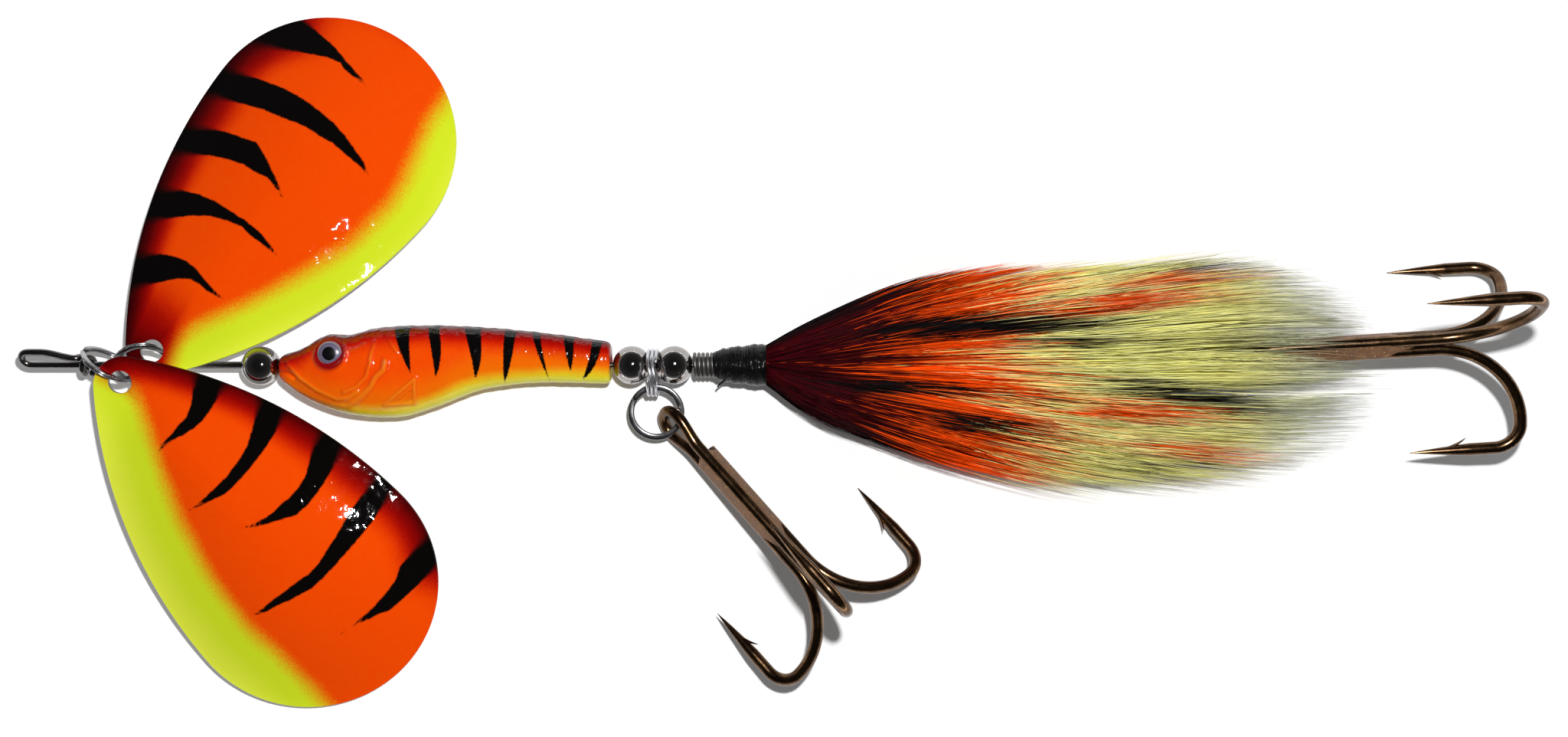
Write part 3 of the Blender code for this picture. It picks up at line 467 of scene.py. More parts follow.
# %% Blade finishes
SPRAYED = {"Roughness": 0.6, "Specular_IOR_Level": 0.0}
CLAW_SOFT_LEAST, CLAW_SOFT_MORE = 0.16, 1.0
DARK_PER_MM = 0.11
DARK_STOPS = (
    (0.0, screen(34, 2, 4)), (0.19, screen(84, 2, 4)), (0.4, screen(146, 6, 4)), (0.65, screen(206, 26, 2)),
    (1.0, screen(248, 64, 0)),
)
blade_paint = Finish("blade_paint_sprayed", **SPRAYED, Coat_Weight=1.0, Coat_Roughness=0.03, Coat_IOR=1.4)
fine, middling, broad = blade_paint.noise(0.28, 1.0), blade_paint.noise(1.1, 2.0), blade_paint.noise(7.0, 2.0)
dark_edge = blade_paint.carried("dark")
lift = blade_paint.between(dark_edge, 6.5, 0.5)
softness = blade_paint.line(lift, CLAW_SOFT_MORE, CLAW_SOFT_LEAST)
claw_edge = blade_paint.shaken(blade_paint.shaken(blade_paint.carried("stripe"), fine, 0.14), middling, 0.3)
claw_edge = blade_paint.math("DIVIDE", claw_edge, softness)
black_share = blade_paint.between(claw_edge, 1.0, -1.0)
lime_edge = blade_paint.shaken(blade_paint.shaken(blade_paint.carried("lime"), fine, 1.9), broad, 0.9)
lime_share = blade_paint.between(lime_edge, -2.6, 2.2)
orange = blade_paint.blend(middling, screen(255, 74, 0), screen(255, 82, 4))
# Deeper into the chartreuse band, towards the blade's edge, the lime is painted paler: painted light that makes up for
# lamp light falling off there.
lime_painted_paler = blade_paint.between(lime_edge, 2.5, 9.5)
lime = blade_paint.blend(lime_painted_paler, screen(222, 242, 40), screen(244, 255, 74))
coat = blade_paint.blend(lime_share, orange, lime)
fade = blade_paint.shaken(blade_paint.shaken(dark_edge, fine, 0.9), broad, 1.2)
dark_tone = blade_paint.ramp(blade_paint.math("MULTIPLY", fade, DARK_PER_MM), DARK_STOPS)
coat = blade_paint.blend(blade_paint.between(fade, 9.4, 4.4), coat, dark_tone)
coat = blade_paint.blend(black_share, coat, screen(9, 6, 6))
ripple = blade_paint.math("ADD", blade_paint.noise(3.4, 1.0), blade_paint.math("MULTIPLY", middling, 0.22))
ripple = blade_paint.math("ADD", blade_paint.math("MULTIPLY", ripple, 0.12), blade_paint.carried("run"))
ripple = blade_paint.bump(ripple, 1.0)
blade_paint.feed(blade_paint.shader, {"Base Color": coat, "Coat Normal": ripple})

blade_edge = Finish("blade_edge_brass", Metallic=1.0)
edge_grain = blade_edge.noise(0.5, 3.0)
edge_tone = blade_edge.blend(edge_grain, screen(46, 30, 24), screen(96, 66, 44))
blade_edge.feed(blade_edge.shader, {"Base Color": edge_tone, "Roughness": blade_edge.between(edge_grain, -0.6, 1.6)})

blade_back = Finish("blade_back_nickel", Metallic=1.0)
smear = blade_back.noise(9.0, 4.0)
scratch = blade_back.noise(0.5, 2.0, stretch=(0.06, 1.0, 1.0))
back_tone = blade_back.blend(smear, screen(196, 192, 184), screen(228, 226, 222))
blade_back.feed(
    blade_back.shader,
    {
        "Base Color": back_tone,
        "Roughness": blade_back.between(smear, -0.9, 2.6),
        "Normal": blade_back.bump(scratch, 0.006),
    },
)

# %% [markdown]
# ## Blades
#
# A blade is stamped from sheet: a teardrop of three arcs, cupped, with a hole in its flat root tab. The grid runs
# out from the hole to the edge, over the rounded edge, back underneath to the hole and up its wall, so that one closed
# grid makes the whole sheet with its hole and no cutting is needed. The cup height is a dome that falls to nothing at
# the edge and at the tab. Paint is carried by the same grid, in the blade's own flat measure: s along it from its root
# and w across it. The claws, the edge of the lime and the runs in the coat were placed on the photograph and
# then written in that measure.

# %% Blade shape
BLADE_LENGTH, ROOT_RADIUS, SIDE_RADIUS, END_RADIUS = 66.2, 4.6, 75.0, 20.2
BLADE_CUP, BLADE_SHEET, DOME_CENTRE = 4.4, 0.7, 42.0
HOLE_INSET, HOLE_RADIUS = 3.8, 1.75
EDGE_BEVEL, DOME_POWER, TAB_FLAT, TAB_EASE, TABLE_GAP = 0.12, 1.25, 2.0, 14.0, 0.02
BLADE_COLUMNS, BLADE_ROWS, BACK_ROWS, RIM_ROWS = 440, 130, 26, 6


def blade_outline(count):
    """Even points along the edge: root arc, side arc and end arc that touch one another, and their mirror image."""
    end = BLADE_LENGTH - END_RADIUS
    spread = (END_RADIUS - ROOT_RADIUS) * (2 * SIDE_RADIUS - ROOT_RADIUS - END_RADIUS)
    along = (spread / (end - ROOT_RADIUS) + ROOT_RADIUS + end) / 2
    below = np.sqrt((SIDE_RADIUS - ROOT_RADIUS) ** 2 - (along - ROOT_RADIUS) ** 2)
    root_turn, end_turn = np.arctan2(below, ROOT_RADIUS - along), np.arctan2(below, end - along)
    arcs = (
        (ROOT_RADIUS, 0.0, ROOT_RADIUS, np.pi, root_turn),
        (along, -below, SIDE_RADIUS, root_turn, end_turn),
        (end, 0.0, END_RADIUS, end_turn, 0.0),
    )
    half = []
    for middle_s, middle_w, radius, first, last in arcs:
        turn = np.linspace(first, last, 200)
        half.append(np.stack([middle_s + radius * np.cos(turn), middle_w + radius * np.sin(turn)], axis=1))
    half = np.concatenate(half)
    loop = np.concatenate([half, half[::-1] * (1, -1)])
    length = np.concatenate([[0], np.cumsum(np.linalg.norm(np.diff(loop, axis=0), axis=1))])
    even = np.linspace(0, length[-1], count, endpoint=False)
    return np.stack([np.interp(even, length, axis) for axis in loop.T], axis=1)


def edge_share(s, w, outline):
    """How far a point lies from the dome's centre towards the edge, and the distance to the edge that is left."""
    from_centre = outline - (DOME_CENTRE, 0)
    angle = np.arctan2(from_centre[:, 1], from_centre[:, 0])
    reach = np.interp(np.arctan2(w, s - DOME_CENTRE), angle, np.linalg.norm(from_centre, axis=1), period=ROUND)
    gone = np.hypot(s - DOME_CENTRE, w)
    return gone / reach, reach - gone


def cup_height(s, share):
    """Dome: cup times (1 - share squared) to a power, eased to nothing over the tab."""
    return BLADE_CUP * np.clip(1 - share**2, 0, None) ** DOME_POWER * smooth_step((s - TAB_FLAT) / TAB_EASE)


def blade_grid():
    """Rows of (s, w, height over the edge plane) from the hole out over the top, round the edge and back below."""
    outline = blade_outline(BLADE_COLUMNS)
    hole = np.array((HOLE_INSET, 0.0))
    ring = hole + HOLE_RADIUS * unit(outline - hole)
    half = BLADE_SHEET / 2
    outwards = unit(outline - (DOME_CENTRE, 0))
    edge = outline - EDGE_BEVEL * outwards
    rim_turn = np.linspace(0, np.pi, RIM_ROWS)
    share_out = np.concatenate([np.linspace(0, 1, BLADE_ROWS), np.ones(RIM_ROWS), np.linspace(1, 0, BACK_ROWS)])
    lift = np.concatenate([np.full(BLADE_ROWS, half), half * np.cos(rim_turn), np.full(BACK_ROWS, -half)])
    swell = np.concatenate([np.zeros(BLADE_ROWS), EDGE_BEVEL * np.sin(rim_turn), np.zeros(BACK_ROWS)])
    flat = ring + share_out[:, None, None] * (edge - ring) + swell[:, None, None] * outwards
    s, w = flat[..., 0], flat[..., 1]
    share, left = edge_share(s, w, outline)
    return s, w, half + lift[:, None] + cup_height(s, np.clip(share, 0, 1)), left


def placed_blade(s, w, h, hole, yaw, tilt):
    """Tip the blade about its hole so that its far end dips to the table, then turn it about the upright."""
    yaw, tilt = np.radians((yaw, tilt))
    x, y = s - HOLE_INSET, w
    level, up = x * np.cos(tilt) + h * np.sin(tilt), h * np.cos(tilt) - x * np.sin(tilt)
    height = (BLADE_LENGTH - HOLE_INSET) * np.sin(tilt) + TABLE_GAP
    turned = (level * np.cos(yaw) - y * np.sin(yaw), level * np.sin(yaw) + y * np.cos(yaw))
    return np.stack([hole[0] + turned[0], hole[1] + turned[1], height + up], axis=-1)


# %% Both blades
UPPER_CLAWS = (
    (
        (59.3, 19), (58.7, 11.5), (58.5, 8.2), (57.9, 5.5), (57.4, 2.8), (56.8, -0.5), (56.6, 1.7),
        (56.6, 4.6), (57, 5.8), (56.5, 7.9), (55.4, 10), (54.1, 12.5), (52.9, 14.6), (51.8, 16.9), (49.6, 23),
    ),
    (
        (44.2, 24), (46.5, 16.1), (47.5, 12.8), (48.4, 9.5), (48.9, 6), (49, 2.6), (48.9, -0.1), (48.4, -2.8),
        (47.6, -5.6), (47, -7.5), (45.9, -9.3), (46.1, -7.5), (46.2, -3.9), (46.3, -2), (45.9, 0),
        (45.8, 2.1), (45.3, 4.3), (44.5, 6.8), (43.7, 10.1), (42.5, 13.2), (41.2, 16.3), (38.6, 23.6),
    ),
    (
        (32.2, 23), (36, 15.8), (37.4, 12.7), (38.4, 9.4), (39.1, 7.2), (38.7, 5.7), (37.7, 3.3), (36.4, 0.6),
        (34.5, -2.3), (35, -1), (35.5, 0.3), (35.9, 2.2), (35.3, 4.7), (35.2, 6.6), (34.3, 9.1), (33, 12.1),
        (31.2, 14.8), (27.2, 21),
    ),
    (
        (22.2, 19), (25.9, 12.6), (27.3, 9.5), (28.1, 6.2), (28.4, 3.2), (28.7, 0.4), (28.6, -2.2),
        (28.1, -4.4), (27.2, -7.1), (27.4, -5.3), (27.3, -1.5), (27.5, 0.6), (26.9, 2.8), (25.7, 5.7),
        (23.9, 8.2), (21.7, 10.6), (15.6, 16.6),
    ),
    (
        (12.4, 14), (16.4, 8.4), (17.5, 6.1), (18.1, 4.1), (18.1, 2.1), (17.6, -0.2), (17.2, -2.3),
        (17, -4.3), (16.7, -2.7), (16.4, -1.4), (16.5, 0.1), (16.3, 1.8), (15.3, 3.3), (13.4, 5.1), (6.4, 11),
    ),
)
LOWER_CLAWS = (
    (
        (6.6, 13), (11.9, 7.5), (13.5, 6), (14.5, 4.3), (14.7, 2.8), (15.1, 0.9), (15.2, -1.1), (15.9, -2.3),
        (15.8, 0.5), (16.4, 2.4), (16.6, 4.2), (16.5, 5.8), (16.2, 7.2), (15.5, 9.2), (13, 16.5),
    ),
    (
        (15.4, 18.5), (21, 12.1), (22.4, 10.4), (23.8, 8.4), (24.7, 6.1), (25.4, 3.2), (25.6, 1.1),
        (25.7, -3.3), (25.4, -5.3), (26, -3.6), (26.7, -1.1), (27.3, 1.2), (27.2, 3.3), (27, 5.4),
        (26.5, 7.7), (25.9, 10.2), (25.2, 12.2), (21.8, 20.6),
    ),
    (
        (26.6, 22.6), (30.5, 15.2), (31.9, 13.5), (33.3, 11.5), (33.9, 9.4), (34.1, 7.7), (34, 6.3),
        (34.2, 4.9), (34, 3.1), (33.5, 1.1), (32.8, -0.5), (34.1, 1.4), (35.1, 3.3), (36, 5.3), (36.8, 7),
        (36.8, 8.9), (36.4, 11.2), (35.8, 13.2), (35, 15.5), (31.6, 24),
    ),
    (
        (38, 25), (40.9, 16.8), (41.5, 14.3), (42.1, 12.3), (43.2, 9.4), (43.8, 7.3), (44.7, 4.6),
        (44.9, 2.4), (44.6, 0.2), (44.5, -2.3), (44.3, -4.6), (44.2, -8.7), (45.1, -6.3), (45.6, -4.1),
        (46, -2.9), (46.5, -0.8), (46.9, 1.3), (46.8, 3.5), (46.6, 6.1), (46.2, 8.9), (45.8, 11.6),
        (45.3, 14.3), (42.4, 25.4),
    ),
    (
        (52.2, 24), (52.7, 16.7), (53.4, 12.9), (54.4, 11.2), (55, 9), (55.3, 7.1), (55.5, 4.9), (55.5, 2),
        (55.3, -0.9), (55.7, 1.8), (56.5, 4), (56.9, 5.6), (57.6, 7), (57.6, 9.1), (57.6, 11.1), (57.5, 13.3),
        (57.4, 22),
    ),
)
UPPER_LIME = (
    (0, -0.8), (3.5, -1.1), (6.3, -1.8), (10.9, -3.6), (15.6, -5.9), (20.7, -8.4), (25.4, -10.5),
    (30.3, -12.4), (35.4, -13.9), (40.5, -14.6), (45.5, -14.7), (50.2, -13.8), (54.2, -12.5), (58.3, -11.1),
    (62.1, -10.5), (67, -9.6),
)
LOWER_LIME = (
    (0, 1.2), (3.5, 0.8), (7.2, 0.1), (10.2, -1.1), (13.9, -2.5), (17.5, -4.1), (21.8, -5.9), (25.6, -7.3),
    (30.4, -8.6), (36, -10), (41.8, -10.7), (46.9, -10.9), (52.1, -10.7), (57.6, -11), (62.5, -11.5),
    (67, -12),
)
UPPER_RUNS = (
    ((40.9, -15.3), (41.1, -15.0)), ((35.8, -13.9), (36.3, -12.8)), ((38.9, -12.3), (39.3, -12.0)),
    ((29.5, -10.9), (30.4, -9.8), (32.2, -9.5), (33.7, -9.9), (35.2, -11.6)),
)
LOWER_RUNS = (
    ((36.2, 8.6), (34.6, 9.6), (34.2, 11.2), (35.0, 12.6)), ((37.4, 9.6), (36.2, 11.4), (35.5, 13.2)),
    ((40.6, 14.7), (40.9, 14.4)), ((45.8, 14.3), (46.0, 13.8)),
)
RUN_HEIGHT, RUN_WIDTH = 0.15, 0.6
DARK_FADES_FROM, DARK_GONE_BY, DARK_MOST = 54.0, 64.0, 12.0
FAR_END_PALER, OTHER_SIDE_PALER = 7.0, 3.0
ROOT_DARK, ROOT_RISE, ROOT_ACROSS = 1.0, 0.55, 1.2


def blade_values(s, w, left, claws, lime_edge, runs, lean, root_paler):
    """Carried paint distances: to the claws, past the lime edge, and from the dark edge; and the coat's runs.

    A run is a bell curve of the distance to a short line. The lean is how much the coat thickens along and across.
    The dark edge fades out towards the far end, on the other side and away from the root.
    """
    spots = np.stack([s.ravel(), w.ravel()], axis=1)
    stripe = nearest_claw(spots, claws)
    lime = (curve_through(lime_edge, s) - w).ravel()
    bells = [np.exp(-((line_distance(spots, run) / RUN_WIDTH) ** 2)) for run in runs]
    broad = (lean[0] * s + lean[1] * w).ravel()
    far_end = FAR_END_PALER * smooth_step((s - DARK_FADES_FROM) / (DARK_GONE_BY - DARK_FADES_FROM))
    side = np.where(w > 0, left, left + OTHER_SIDE_PALER * np.abs(w)) + far_end
    root = ROOT_DARK + ROOT_RISE * np.clip(s - TAB_FLAT, 0, None) + ROOT_ACROSS * np.clip(-w, 0, None) + root_paler
    dark = np.clip((np.minimum(side, root) + 0.5 * root_paler).ravel(), 0, DARK_MOST)
    return {"stripe": stripe, "lime": lime, "dark": dark, "run": RUN_HEIGHT * sum(bells) + broad}


blade_s, blade_w, blade_h, blade_left = blade_grid()
blade_faces = grid_faces(*blade_s.shape, rows_closed=True)
face_row = np.repeat(np.arange(len(blade_s)), BLADE_COLUMNS)
painted_rows = BLADE_ROWS + RIM_ROWS // 2
blade_part = np.where(face_row < painted_rows, 0, np.where(face_row < BLADE_ROWS + RIM_ROWS - 1, 1, 2))
# Node, place of its hole, yaw, tilt, and its paint: claws, lime edge, runs, lean of the coat, paler root.
BLADES = (
    ("upper_blade", (-98.2, 2.15), 51.8, 5.6, (UPPER_CLAWS, UPPER_LIME, UPPER_RUNS, (-0.155, -0.02), 0.0)),
    ("lower_blade", (-102.4, -2.56), -49.2, 7.26, (LOWER_CLAWS, LOWER_LIME, LOWER_RUNS, (0.01, -0.04), 2.6)),
)
for node, hole, yaw, tilt, pattern in BLADES:
    points = placed_blade(blade_s, blade_w, blade_h, hole, yaw, tilt).reshape(-1, 3)
    values = blade_values(blade_s, blade_w, blade_left, *pattern)
    finishes = (blade_paint, blade_edge, blade_back)
    add_piece(node + "_painted", points, blade_faces, finishes, node, "blade_paint", (node,), values, blade_part)

# %% [markdown]
# ## Wire, split rings and beads
#
# The shaft is one spring wire: a long eye in front, a wrap behind it, a straight run and a second eye hidden in the
# hair. Split rings are flat wire wound twice, with a short jog where one coil passes to the other. Beads are drilled
# balls plated in black chrome. Plated metal has little colour of its own, so its finish is mostly roughness: faint
# rubbing marks, and tone and roughness that wander in cloudy patches.

# %% Plated metal finishes
def plated(name, dark, pale, rough, grain, stretch=None, lacquer=0.0):
    """Metal whose tone and roughness wander with noise of the given grain; lacquer adds a soft second gloss."""
    finish = Finish(name, Metallic=1.0, Coat_Weight=lacquer, Coat_Roughness=0.13)
    cloud, fine = finish.noise(grain, 3.0, stretch), finish.noise(grain / 6, 2.0, stretch)
    low, high = rough
    sockets = {
        "Base Color": finish.blend(cloud, screen(*dark), screen(*pale)),
        "Roughness": finish.line(cloud, high - low, low),
        "Normal": finish.bump(fine, 0.004),
    }
    finish.feed(finish.shader, sockets)
    return finish


shaft_steel = plated("shaft_wire_dark", (92, 90, 90), (134, 131, 130), (0.16, 0.34), 1.4, (0.2, 1, 1))
black_nickel = plated("ring_black_nickel", (128, 127, 130), (186, 185, 188), (0.14, 0.3), 1.6, lacquer=0.4)
silver_plate = plated("hanger_silver", (196, 198, 204), (232, 232, 236), (0.24, 0.36), 1.2)
black_chrome = plated("bead_black_chrome", (150, 146, 144), (186, 182, 180), (0.015, 0.05), 2.4, lacquer=0.25)

# %% Shaft wire
WIRE_HEIGHT, WIRE_RADIUS, WIRE_SPACING, WIRE_SOFTENED = 4.75, 0.55, 0.16, 0.5
AXIS = np.array((0.0, 0.0, WIRE_HEIGHT))
# The hidden rear loop is drawn a little thinner, so that the tail hook's eye has room at its limits.
REAR_LOOP_THINNER, REAR_LOOP_FROM, REAR_LOOP_EASE = 0.06, 62.0, 3.0
WIRE_FRONT, WIRE_REAR = -119.05, np.array((69.0, 1.83, 5.78))
FRONT_EYE = {"width": 2.45, "length": 8.6, "roll": 36, "turned_back": 3.0}
REAR_EYE = {"width": 3.9, "length": 8.0, "roll": 107.5, "turned_back": 4.0}
WRAP_RADIUS, WRAP_TURNS, WRAP_PITCH, LEAD_EASE = 1.25, 1.6, 1.4, 1.6


def eye_line(width, length, roll, turned_back):
    """Wrap, far strand, rounded end and near strand of an eye whose x direction points away from the shaft."""
    roll = np.radians(roll)
    across = np.array((0, np.cos(roll), np.sin(roll)))
    upright = np.array((0, -np.sin(roll), np.cos(roll)))
    ahead = np.array((1.0, 0, 0))
    turn = np.linspace(-ROUND * WRAP_TURNS, 0, 100)[:, None]
    wrap = ahead * (WRAP_PITCH * turn / ROUND) + WRAP_RADIUS * (np.cos(turn) * across + np.sin(turn) * upright)
    t = np.linspace(0.06, 0.7, 14)[:, None]
    lead = ahead * (length * t) + across * (WRAP_RADIUS + (width - WRAP_RADIUS) * smooth_step(t * LEAD_EASE))
    a, middle = np.linspace(0, np.pi, 30)[:, None], width / 2
    bend = ahead * (length - middle + middle * np.sin(a)) + across * (middle + middle * np.cos(a))
    return np.concatenate([wrap, lead, bend, [ahead * -turned_back]])


front_eye = eye_line(**FRONT_EYE) * (-1, 1, 1) + AXIS + (WIRE_FRONT + FRONT_EYE["length"], 0, 0)
rear_eye = eye_line(**REAR_EYE) + WIRE_REAR - (REAR_EYE["length"], 0, 0)
shaft_line = np.concatenate([front_eye, [AXIS + (-3.0, 0, 0)], rear_eye[::-1]])
shaft_line = evened(shaft_line, WIRE_SPACING, WIRE_SOFTENED)
wire_radii = WIRE_RADIUS - REAR_LOOP_THINNER * smooth_step((shaft_line[:, 0] - REAR_LOOP_FROM) / REAR_LOOP_EASE)
points, faces = capped(carried_circle(shaft_line, wire_radii, 18))
add_piece("shaft_wire_drawn", points, faces, (shaft_steel,), "shaft", "shaft_steel", ("shaft_wire",))

# %% Split rings and the hanger
RING_STEPS, RING_SIDES = 110, 20
# In turns of the ring: its free end, half a jog, where an end starts to round off and over how much; and the least
# share of the section that is left there.
FREE_END, JOG_HALF, ROUND_FROM, ROUND_OVER, END_LEAST = 0.06, 0.09, 0.085, 0.026, 0.05


def wound_ring(centre, normal, radius, wide, thick, coils, split_at, roundness, gap=0.0):
    """Flat wire wound round a circle: it steps sideways by one thickness in a short jog at each passing of the split.

    The section is a rounded rectangle, |cos| and |sin| to the power 2 over roundness. A gap keeps the coils apart.
    """
    axis = unit(np.array(normal, float))
    towards = np.array(split_at, float) - centre
    out = unit(towards - axis * (towards @ axis))
    beside = np.cross(axis, out)
    tau = np.linspace(FREE_END, coils - FREE_END, RING_STEPS * coils)
    jogs = sum(smooth_step((tau - k + JOG_HALF) / (2 * JOG_HALF)) for k in range(1, coils))
    offset = (thick + gap) * (jogs - (coils - 1) / 2)
    turn = np.linspace(0, ROUND, RING_SIDES, endpoint=False)
    bulge = [np.sign(f(turn)) * np.abs(f(turn)) ** (2 / roundness) for f in (np.cos, np.sin)]
    past = ((np.abs(tau - coils / 2) - (coils / 2 - ROUND_FROM)) / ROUND_OVER).clip(0, 1)
    ends = np.sqrt(np.clip(1 - past**2, END_LEAST, 1))
    radial = (np.cos(ROUND * tau)[:, None] * out + np.sin(ROUND * tau)[:, None] * beside)[:, None]
    reach = radius + ends[:, None] * wide / 2 * bulge[0]
    level = offset[:, None] - ends[:, None] * thick / 2 * bulge[1]
    return np.array(centre) + reach[..., None] * radial + level[..., None] * axis


BELLY_CENTRE, BELLY_RADIUS = (-20.0, -7.4, 4.2), 3.95
HANGER_CENTRE, HANGER_RADIUS = (-20.45, -1.2, WIRE_HEIGHT), 3.45
# Node, body, centre, direction of the axis, radius, width and thickness of the wire, and where the split looks.
RINGS = (
    ("upper_blade_ring", "upper_ring", (-100.43, 0.071, 4.944), (-0.318, 0.673, -0.668), 3.9, 0.92, 0.34, (-92, 2, 7)),
    ("lower_blade_ring", "lower_ring", (-105.13, 0.147, 6.505), (0.581, 0.792, 0.188), 3.9, 0.92, 0.34, (-107, 3, 9)),
    ("belly_ring", "belly_ring", BELLY_CENTRE, (0, -0.1374, 0.9905), BELLY_RADIUS, 0.96, 0.355, (-30, -6.5, 5)),
)
for node, body, centre, normal, radius, wide, thick, split_at in RINGS:
    points, faces = capped(wound_ring(centre, normal, radius, wide, thick, 2, split_at, 2.6))
    add_piece(node + "_wound", points, faces, (black_nickel,), body, "black_nickel", (node,))
hanger = wound_ring(HANGER_CENTRE, (1, 0, 0), HANGER_RADIUS, 0.62, 0.54, 3, (-20.45, 0, 20), 2.0, gap=0.09)
points, faces = capped(hanger)
add_piece("hanger_ring_wound", points, faces, (silver_plate,), "hanger", "silver_plate", ("hanger_ring",))

# %% Beads
BEAD_RADIUS, BEAD_BORE, LIP_TURN, LIP_DEPTH = 3.01, 0.9, 0.03, 0.12
ARC_ROWS, BORE_ROWS, BEAD_COLUMNS = 72, 8, 96
first = np.arcsin(BEAD_BORE / BEAD_RADIUS)
arc = np.linspace(first + LIP_TURN, np.pi - first - LIP_TURN, ARC_ROWS)
lip = BEAD_RADIUS * np.cos(first) - LIP_DEPTH
bead_along = np.concatenate([[-lip], -BEAD_RADIUS * np.cos(arc), np.linspace(lip, -lip * 0.8, BORE_ROWS)])
bead_out = np.concatenate([[BEAD_BORE], BEAD_RADIUS * np.sin(arc), np.full(BORE_ROWS, BEAD_BORE)])
BEADS = (("front_bead", (-81.85, -0.1)), ("middle_bead", (-23.75, 0.0)), ("rear_bead", (-17.15, 0.0)))
for node, place in BEADS:
    grid = turned_grid(bead_along, bead_out, (*place, WIRE_HEIGHT), BEAD_COLUMNS)
    faces = grid_faces(*grid.shape[:2], rows_closed=True)
    add_piece(node + "_polished", grid.reshape(-1, 3), faces, (black_chrome,), node, "bead_chrome", (node,))

# %% [markdown]
# ## Minnow
#
# The body is moulded in two halves, so it has a raised seam along the back and the belly, and its gill covers, mouth
# and fin stand up as soft ridges. The loft is a rounded section between a back line, a belly line and a thickness. The
# relief is a height drawn in the side view: each ridge is a bell curve of the distance to a line. The end faces run in
# to the bore and the bore runs back through, so the grid closes on itself.

# %% Minnow finish
minnow_paint = Finish("minnow_paint_sprayed", **SPRAYED, Coat_Weight=0.7, Coat_Roughness=0.09, Coat_IOR=1.5)
fine, broad = minnow_paint.noise(0.25, 1.0), minnow_paint.noise(3.0, 2.0)
claw_edge = minnow_paint.shaken(minnow_paint.carried("stripe"), fine, 0.3)
black_share = minnow_paint.between(claw_edge, 0.1, -0.12)
below_back = minnow_paint.shaken(minnow_paint.shaken(minnow_paint.carried("below_back"), broad, 0.5), fine, 0.3)
red_share = minnow_paint.between(below_back, 4.6, 1.4)
lime_edge = minnow_paint.shaken(minnow_paint.shaken(minnow_paint.carried("lime"), broad, 0.6), fine, 0.4)
lime_share = minnow_paint.between(lime_edge, -1.5, 1.3)
skin = minnow_paint.blend(broad, screen(255, 70, 2), screen(255, 88, 4))
skin = minnow_paint.blend(minnow_paint.between(lime_edge, -6.0, -0.5), skin, screen(255, 118, 6))
skin = minnow_paint.blend(lime_share, skin, screen(250, 244, 48))
ridge_height = minnow_paint.carried("ridge")
# Dark red at the foot of each ridge is painted shade.
ridge_foot_painted_shade = minnow_paint.math("MULTIPLY", minnow_paint.between(ridge_height, 0.01, 0.06), 0.15)
skin = minnow_paint.blend(ridge_foot_painted_shade, skin, screen(214, 34, 6))
# The paler orange on the top of each ridge is a painted highlight.
ridge_top_painted_highlight = minnow_paint.math("MULTIPLY", minnow_paint.between(ridge_height, 0.1, 0.34), 0.6)
skin = minnow_paint.blend(ridge_top_painted_highlight, skin, screen(255, 138, 24))
back_red = minnow_paint.ramp(
    minnow_paint.math("MULTIPLY", below_back, 0.22),
    ((0.0, screen(92, 3, 4)), (0.2, screen(156, 7, 4)), (0.5, screen(214, 22, 4)), (1.0, screen(252, 60, 4))),
)
skin = minnow_paint.blend(red_share, skin, back_red)
socket_share = minnow_paint.between(minnow_paint.carried("from_eye"), 2.9, 2.2)
skin = minnow_paint.blend(socket_share, skin, screen(150, 8, 14))
skin = minnow_paint.blend(black_share, skin, screen(10, 7, 7))
near_back = minnow_paint.line(minnow_paint.between(below_back, 5.0, 1.0), 0.8, 0.5)
dents = minnow_paint.bump(minnow_paint.math("MULTIPLY", minnow_paint.noise(1.1, 2.0), near_back), 0.2)
minnow_paint.feed(minnow_paint.shader, {"Base Color": skin, "Normal": dents, "Coat Normal": dents})

# %% Minnow body
NOSE, MINNOW_LENGTH = -78.65, 51.6
BACK = ((0, 1.4), (3, 2.4), (7.5, 4.7), (10.5, 4.6), (14, 5.5), (22, 6.1), (30, 5.9), (43, 4.7), (51.6, 3.5))
BELLY = (
    (0, -2.4), (3, -4.6), (8, -6.9), (15, -8.1), (19, -8.0), (25, -6.2), (31, -3.9), (37, -2.9), (51.6, -2.8),
)
FLANK = ((0, 1.9), (3, 3.0), (9, 4.4), (16, 4.7), (25, 4.2), (34, 3.4), (51.6, 2.6))
EYE_SPOT = np.array((8.7, 1.75))
# Ridges in the side view, from the nose: a line, its height and its width. Lips, gill covers, brow and fin.
RIDGES = (
    (((1.2, -2.6), (3.5, -4.0), (6.0, -5.2), (9.0, -6.2), (11.5, -6.7)), 0.32, 0.38),
    (((1.6, 0.4), (3.9, -2.0), (6.5, -3.8), (9.7, -5.3), (11.6, -5.1), (13.2, -4.1)), 0.34, 0.40),
    (((17.4, 0.6), (17.2, -0.8), (16.0, -1.9), (15.1, -3.5), (13.4, -5.1), (11.3, -6.5)), 0.44, 0.42),
    (((15.2, 0.6), (14.6, -1.8), (13.0, -3.4), (11.0, -4.2)), 0.26, 0.38),
    (((11.0, 2.0), (12.4, 2.3), (14.0, 3.1)), 0.30, 0.34),
    (((11.6, 3.3), (12.8, 3.6), (13.8, 4.3)), 0.24, 0.30),
    (((15.1, 0.7), (15.4, 2.4), (16.0, 4.2)), 0.30, 0.36),
    (((17.4, 4.8), (18.1, 3.4), (19.1, 2.2)), 0.26, 0.34),
    (((17.0, -6.2), (21.9, -2.2), (21.6, -6.0), (17.0, -6.2)), 0.42, 0.28),
    (((18.6, -5.7), (21.6, -3.3)), 0.22, 0.22),
    (((20.0, -5.7), (21.7, -4.4)), 0.22, 0.22),
)
